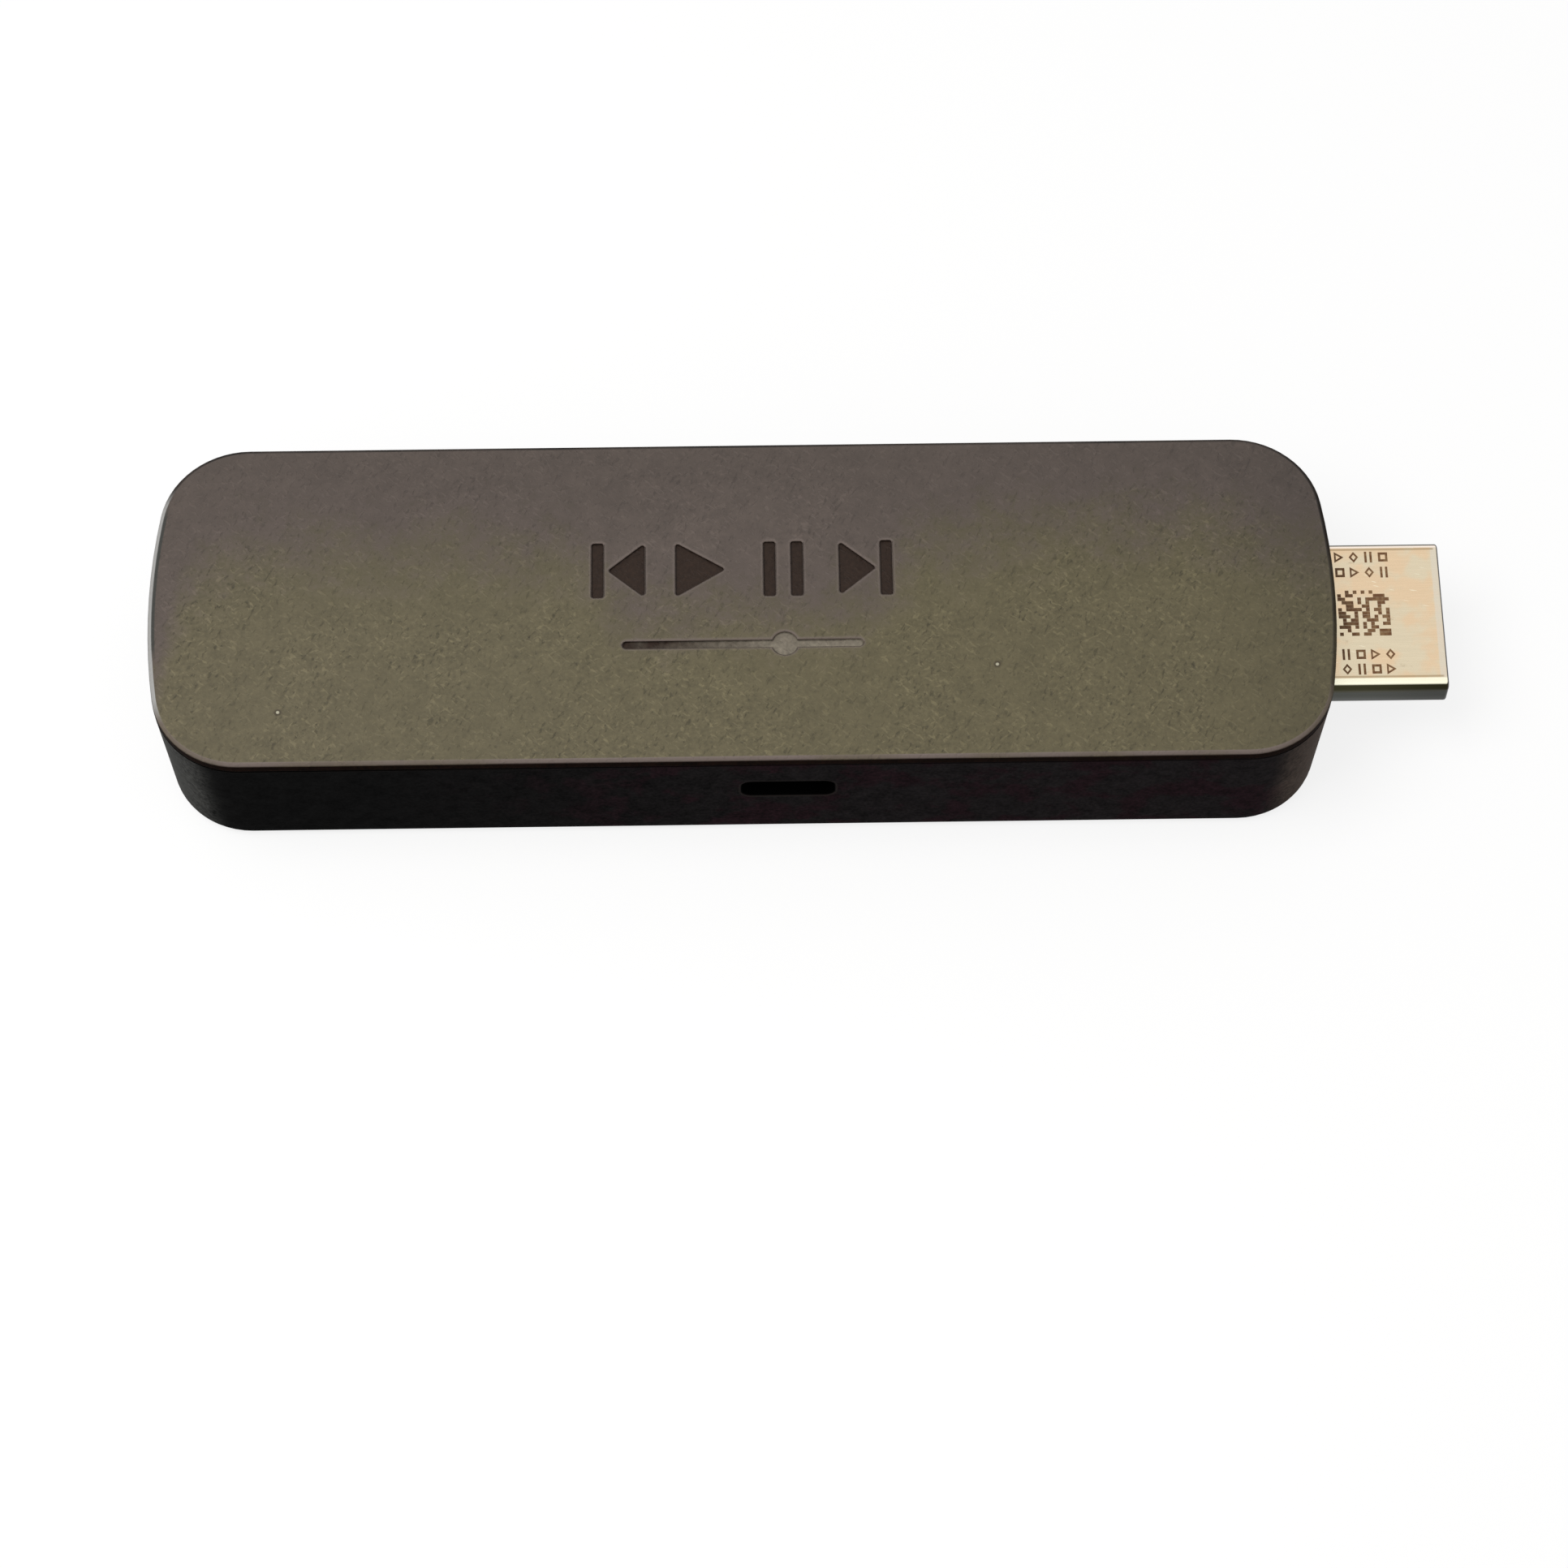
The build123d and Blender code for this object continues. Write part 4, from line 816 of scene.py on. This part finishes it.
def makeBoardFinish(look):
    finish, tree, shader = startFinish("boardMask")
    place = inMillimetres(tree)
    at = axes(tree, place)
    flat = calc(tree, "ABSOLUTE", surfaceNormal(tree)["Z"])
    tracks = makeTracks(tree, place, look, 0, 0.0)
    tracks = calc(tree, "MAXIMUM", tracks, makeTracks(tree, place, look, 90, 7.0))
    tracks = calc(tree, "MAXIMUM", tracks, makeTracks(tree, place, look, 45, 13.0))
    holes = specks(tree, place, 1.5, 0.3, 0.2)
    colour = shaded(tree, look["mask"], plus(tree, swing(tree, grain(tree, place, 3.0, 2.0), 0.12), 1.0))
    colour = mixed(tree, tracks, colour, look["track"])
    colour = mixed(tree, holes, colour, look["via"])
    layers = addNode(tree, "Math", {0: times(tree, at["Z"], 5.0)}, operation="FRACT").outputs[0]
    cut = mixed(tree, step(tree, layers, 0.35, 0.6), look["laminate"], look["laminateDark"])
    cut = shaded(tree, cut, plus(tree, swing(tree, grain(tree, place, 0.2), 0.15), 1.0))
    onEdge = step(tree, flat, 0.6, 0.4)
    feed(tree, shader.inputs["Base Color"], mixed(tree, onEdge, colour, cut))
    roughness = plus(tree, times(tree, onEdge, 0.4), times(tree, tracks, -0.05), look["roughness"])
    feed(tree, shader.inputs["Roughness"], roughness)
    feed(tree, shader.inputs["Normal"], relief(tree, calc(tree, "MAXIMUM", tracks, holes), 0.02))
    return finish


dress(makeBoardFinish(boardLook), "main_board")
print("circuit board finished")


# Chips: black moulding compound on a green substrate

chipLook = {
    "mould": rgb(37, 37, 39),
    "mouldLight": rgb(54, 54, 57),
    "wornEdge": rgb(84, 84, 86),
    "substrate": rgb(34, 84, 56),
    "substrateReach": 0.8,  # half the board's thickness and the substrate's together
    "boardMiddle": 6.4,
    "roughness": 0.5,
}


def makeChipFinish(look):
    finish, tree, shader = startFinish("chipMould", shine=0.4)
    place = inMillimetres(tree)
    fine = grain(tree, place, 0.12, 2.0)
    colour = mixed(tree, step(tree, fine, 0.4, 0.7), look["mould"], look["mouldLight"])
    colour = shaded(tree, colour, plus(tree, swing(tree, grain(tree, place, 3.0), 0.12), 1.0))
    colour = mixed(tree, times(tree, nearSharpEdge(tree, 0.07), 0.6), colour, look["wornEdge"])
    height = calc(tree, "ABSOLUTE", calc(tree, "SUBTRACT", axes(tree, place)["Z"], look["boardMiddle"]))
    substrate = step(tree, height, look["substrateReach"] + 0.01, look["substrateReach"] - 0.01)
    colour = mixed(tree, substrate, colour, look["substrate"])
    feed(tree, shader.inputs["Base Color"], colour)
    feed(tree, shader.inputs["Roughness"], plus(tree, swing(tree, fine, 0.1), look["roughness"]))
    feed(tree, shader.inputs["Normal"], relief(tree, fine, 0.003))
    return finish


dress(makeChipFinish(chipLook), "processor_chip", "memory_chip", "storage_chip", "power_chip", "radio_chip",
      "radio_amplifiers")
print("chips finished")


# Small parts with a tinned cap at each end

smallPartLooks = {
    "bulk_capacitors": {"body": rgb(158, 124, 92), "fleck": rgb(182, 148, 114), "shine": 0.4},
    "small_capacitors": {"body": rgb(150, 116, 86), "fleck": rgb(176, 142, 110), "shine": 0.4},
    "input_fuse": {"body": rgb(206, 204, 190), "fleck": rgb(178, 190, 170), "shine": 0.5},
    "remote_antenna": {"body": rgb(222, 220, 212), "fleck": rgb(200, 204, 206), "shine": 0.4},
    "signal_filters": {"body": rgb(70, 70, 72), "fleck": rgb(92, 92, 94), "shine": 0.35},
    "power_inductors": {"body": rgb(78, 78, 80), "fleck": rgb(104, 104, 104), "shine": 0.3},
    "crystals": {"body": rgb(198, 198, 196), "fleck": rgb(222, 222, 220), "metal": 1.0},
}
capLook = {"tin": rgb(204, 204, 200), "dull": rgb(160, 160, 156), "roughness": 0.38, "length": 0.25}
bodyRoughness = 0.42


def makeCeramicFinish(name, look):
    finish, tree, shader = startFinish(name, metallic=look.get("metal", 0.0), shine=look.get("shine", 0.5))
    place = inMillimetres(tree)
    fine = grain(tree, place, 0.15, 3.0)
    colour = mixed(tree, step(tree, fine, 0.4, 0.65), look["body"], look["fleck"])
    feed(tree, shader.inputs["Base Color"], colour)
    feed(tree, shader.inputs["Roughness"], plus(tree, swing(tree, fine, 0.1), bodyRoughness))
    feed(tree, shader.inputs["Normal"], relief(tree, fine, 0.004))
    return finish


def makeCapFinish(look):
    finish, tree, shader = startFinish("tinnedCap", metallic=1.0)
    place = inMillimetres(tree)
    fine = grain(tree, place, 0.12, 2.0)
    colour = mixed(tree, step(tree, grain(tree, place, 0.4), 0.4, 0.65), look["dull"], look["tin"])
    feed(tree, shader.inputs["Base Color"], colour)
    feed(tree, shader.inputs["Roughness"], plus(tree, swing(tree, fine, 0.1), look["roughness"]))
    feed(tree, shader.inputs["Normal"], relief(tree, fine, 0.005))
    return finish


def looseParts(mesh):
    # the faces of each separate block, found by the corners that they share
    owner = {}

    def root(key):
        while owner[key] != key:
            key = owner[key]
        return key

    keys = [tuple(round(value / mm, 3) for value in vertex.co) for vertex in mesh.vertices]
    for face in mesh.polygons:
        for index in face.vertices:
            owner.setdefault(keys[index], keys[index])
            owner[root(keys[index])] = root(keys[face.vertices[0]])
    parts = {}
    for face in mesh.polygons:
        parts.setdefault(root(keys[face.vertices[0]]), []).append(face)
    return parts.values()


def capEnds(node, capLength, capFinish):
    # the faces near both ends of each block get the cap's finish
    mesh = cadNodes[node].data
    mesh.materials.append(capFinish)
    for faces in looseParts(mesh):
        xs = [mesh.vertices[index].co.x / mm for face in faces for index in face.vertices]
        low, high = min(xs) + capLength + 0.01, max(xs) - capLength - 0.01
        for face in faces:
            corners = [mesh.vertices[index].co.x / mm for index in face.vertices]
            if max(corners) < low or min(corners) > high:
                face.material_index = 1


tinnedCap = makeCapFinish(capLook)
for node, look in smallPartLooks.items():
    dress(makeCeramicFinish(node + "Body", look), node)
    capEnds(node, capLook["length"], tinnedCap)
print("small parts finished")


# Thermal pads and tapes

softLooks = {
    "gapPad": {"base": rgb(150, 166, 182), "fleck": rgb(176, 188, 198), "size": 0.25, "depth": 0.02,
               "roughness": 0.85, "nodes": ("processor_gap_pad", "radio_gap_pad", "power_gap_pad")},
    "thermalPad": {"base": rgb(176, 178, 180), "fleck": rgb(150, 152, 156), "size": 0.2, "depth": 0.015,
                   "roughness": 0.8, "nodes": ("processor_thermal_pad",)},
    "spreaderTape": {"base": rgb(196, 194, 186), "fleck": rgb(214, 212, 204), "size": 0.35, "depth": 0.006,
                     "roughness": 0.45, "nodes": ("top_spreader_tape", "bottom_spreader_tape")},
}


def makeSoftFinish(name, look):
    finish, tree, shader = startFinish(name, shine=0.3)
    place = inMillimetres(tree)
    fine = grain(tree, place, look["size"], 3.0, 0.6)
    colour = mixed(tree, step(tree, fine, 0.45, 0.65), look["base"], look["fleck"])
    colour = shaded(tree, colour, plus(tree, swing(tree, grain(tree, place, 4.0, 2.0), 0.06), 1.0))
    feed(tree, shader.inputs["Base Color"], colour)
    feed(tree, shader.inputs["Roughness"], plus(tree, swing(tree, fine, 0.06), look["roughness"]))
    feed(tree, shader.inputs["Normal"], relief(tree, fine, look["depth"]))
    return finish


for softName, look in softLooks.items():
    dress(makeSoftFinish(softName, look), *look["nodes"])
print("pads and tapes finished")


# Camera, as the photograph was taken

cameraLook = {
    "azimuth": -1.036,
    "elevation": 63.368,
    "roll": 0.189,
    "distance": 0.396636,
    "aim": (0.003336, -0.010282, 0.0),
    "lens": 107.114,
    "sensor": 36.0,
    "nearest": 0.01,
}


def makeCamera(look):
    camera = bpy.data.objects.new("camera", bpy.data.cameras.new("camera"))
    bpy.context.scene.collection.objects.link(camera)
    azimuth, elevation = math.radians(look["azimuth"]), math.radians(look["elevation"])
    back = Vector((math.sin(azimuth) * math.cos(elevation), -math.cos(azimuth) * math.cos(elevation),
                   math.sin(elevation)))
    camera.location = Vector(look["aim"]) + back * look["distance"]
    camera.rotation_mode = "QUATERNION"
    roll = Quaternion((0, 0, 1), math.radians(look["roll"]))
    camera.rotation_quaternion = back.to_track_quat("Z", "Y") @ roll
    camera.data.lens = look["lens"]
    camera.data.sensor_width = look["sensor"]
    camera.data.clip_start = look["nearest"]
    bpy.context.scene.camera = camera


makeCamera(cameraLook)


# Floor, surroundings and lamps

studioLook = {
    "floorSize": 6.0,
    "floorDrop": 0.00005,
    "floorColour": (0.22, 0.22, 0.22, 1.0),  # the part of the floor's whiteness that a shadow takes away
    "floorGlow": 0.82,  # and the part that it doesn't
    "floorBounce": (0.5, 0.5, 0.5, 1.0),  # what the floor throws back on the object
    "ambient": 0.42,
}


def seenRays(tree):
    # 1 for what the camera, a reflection or glass looks at
    rays = addNode(tree, "LightPath").outputs
    seen = calc(tree, "MAXIMUM", rays["Is Camera Ray"], rays["Is Glossy Ray"])
    return calc(tree, "MAXIMUM", seen, rays["Is Transmission Ray"])


def makeFloor(look):
    half = look["floorSize"] / 2
    mesh = bpy.data.meshes.new("floor")
    corners = [(-half, -half, 0), (half, -half, 0), (half, half, 0), (-half, half, 0)]
    mesh.from_pydata(corners, [], [(0, 1, 2, 3)])
    floor = bpy.data.objects.new("floor", mesh)
    floor.location.z = -look["floorDrop"]
    bpy.context.scene.collection.objects.link(floor)
    finish = bpy.data.materials.new("floorPaper")
    finish.use_nodes = True
    tree = finish.node_tree
    tree.nodes.clear()
    seen = seenRays(tree)
    paperColour = mixed(tree, seen, look["floorBounce"], look["floorColour"])
    paper = addNode(tree, "BsdfDiffuse", {"Color": paperColour})
    glow = times(tree, seen, look["floorGlow"])
    white = addNode(tree, "Emission", {"Color": (1, 1, 1, 1), "Strength": glow})
    both = addNode(tree, "AddShader", {0: paper.outputs[0], 1: white.outputs[0]})
    # seen from below the floor is clear
    fromBelow = addNode(tree, "NewGeometry").outputs["Backfacing"]
    glass = addNode(tree, "BsdfTransparent").outputs[0]
    surface = addNode(tree, "MixShader", {0: fromBelow, 1: both.outputs[0], 2: glass})
    addNode(tree, "OutputMaterial", {"Surface": surface.outputs[0]})
    mesh.materials.append(finish)


def makeSurroundings(look):
    world = bpy.data.worlds.new("studio")
    bpy.context.scene.world = world
    world.use_nodes = True
    tree = world.node_tree
    tree.nodes.clear()
    strength = addNode(tree, "MapRange", {"Value": seenRays(tree), "To Min": look["ambient"], "To Max": 1.0})
    sky = addNode(tree, "Background", {"Color": (1, 1, 1, 1), "Strength": strength.outputs["Result"]})
    addNode(tree, "OutputWorld", {"Surface": sky.outputs[0]})


lampLooks = {
    "key": {"place": (-0.12, -0.05, 0.34), "size": (0.22, 0.22), "power": 0.66,
            "colour": (1.0, 0.99, 0.97)},
    "leftStrip": {"place": (-0.34, 0.02, 0.10), "size": (0.30, 0.07), "power": 0.1,
                  "colour": (0.97, 0.98, 1.0)},
    "rightStrip": {"place": (0.34, -0.06, 0.12), "size": (0.26, 0.07), "power": 0.08,
                   "colour": (1.0, 0.95, 0.9)},
}


def makeLamp(name, look):
    lamp = bpy.data.lights.new(name, "AREA")
    lamp.shape = "RECTANGLE"
    lamp.size, lamp.size_y = look["size"]
    lamp.energy = look["power"]
    lamp.color = look["colour"]
    holder = bpy.data.objects.new(name, lamp)
    holder.location = look["place"]
    holder.rotation_mode = "QUATERNION"
    holder.rotation_quaternion = Vector(look["place"]).to_track_quat("Z", "Y")
    holder.visible_camera = False
    bpy.context.scene.collection.objects.link(holder)


makeFloor(studioLook)
makeSurroundings(studioLook)
for lampName, look in lampLooks.items():
    makeLamp(lampName, look)
bpy.context.scene.view_settings.view_transform = "Standard"
print("camera, floor and lamps placed")
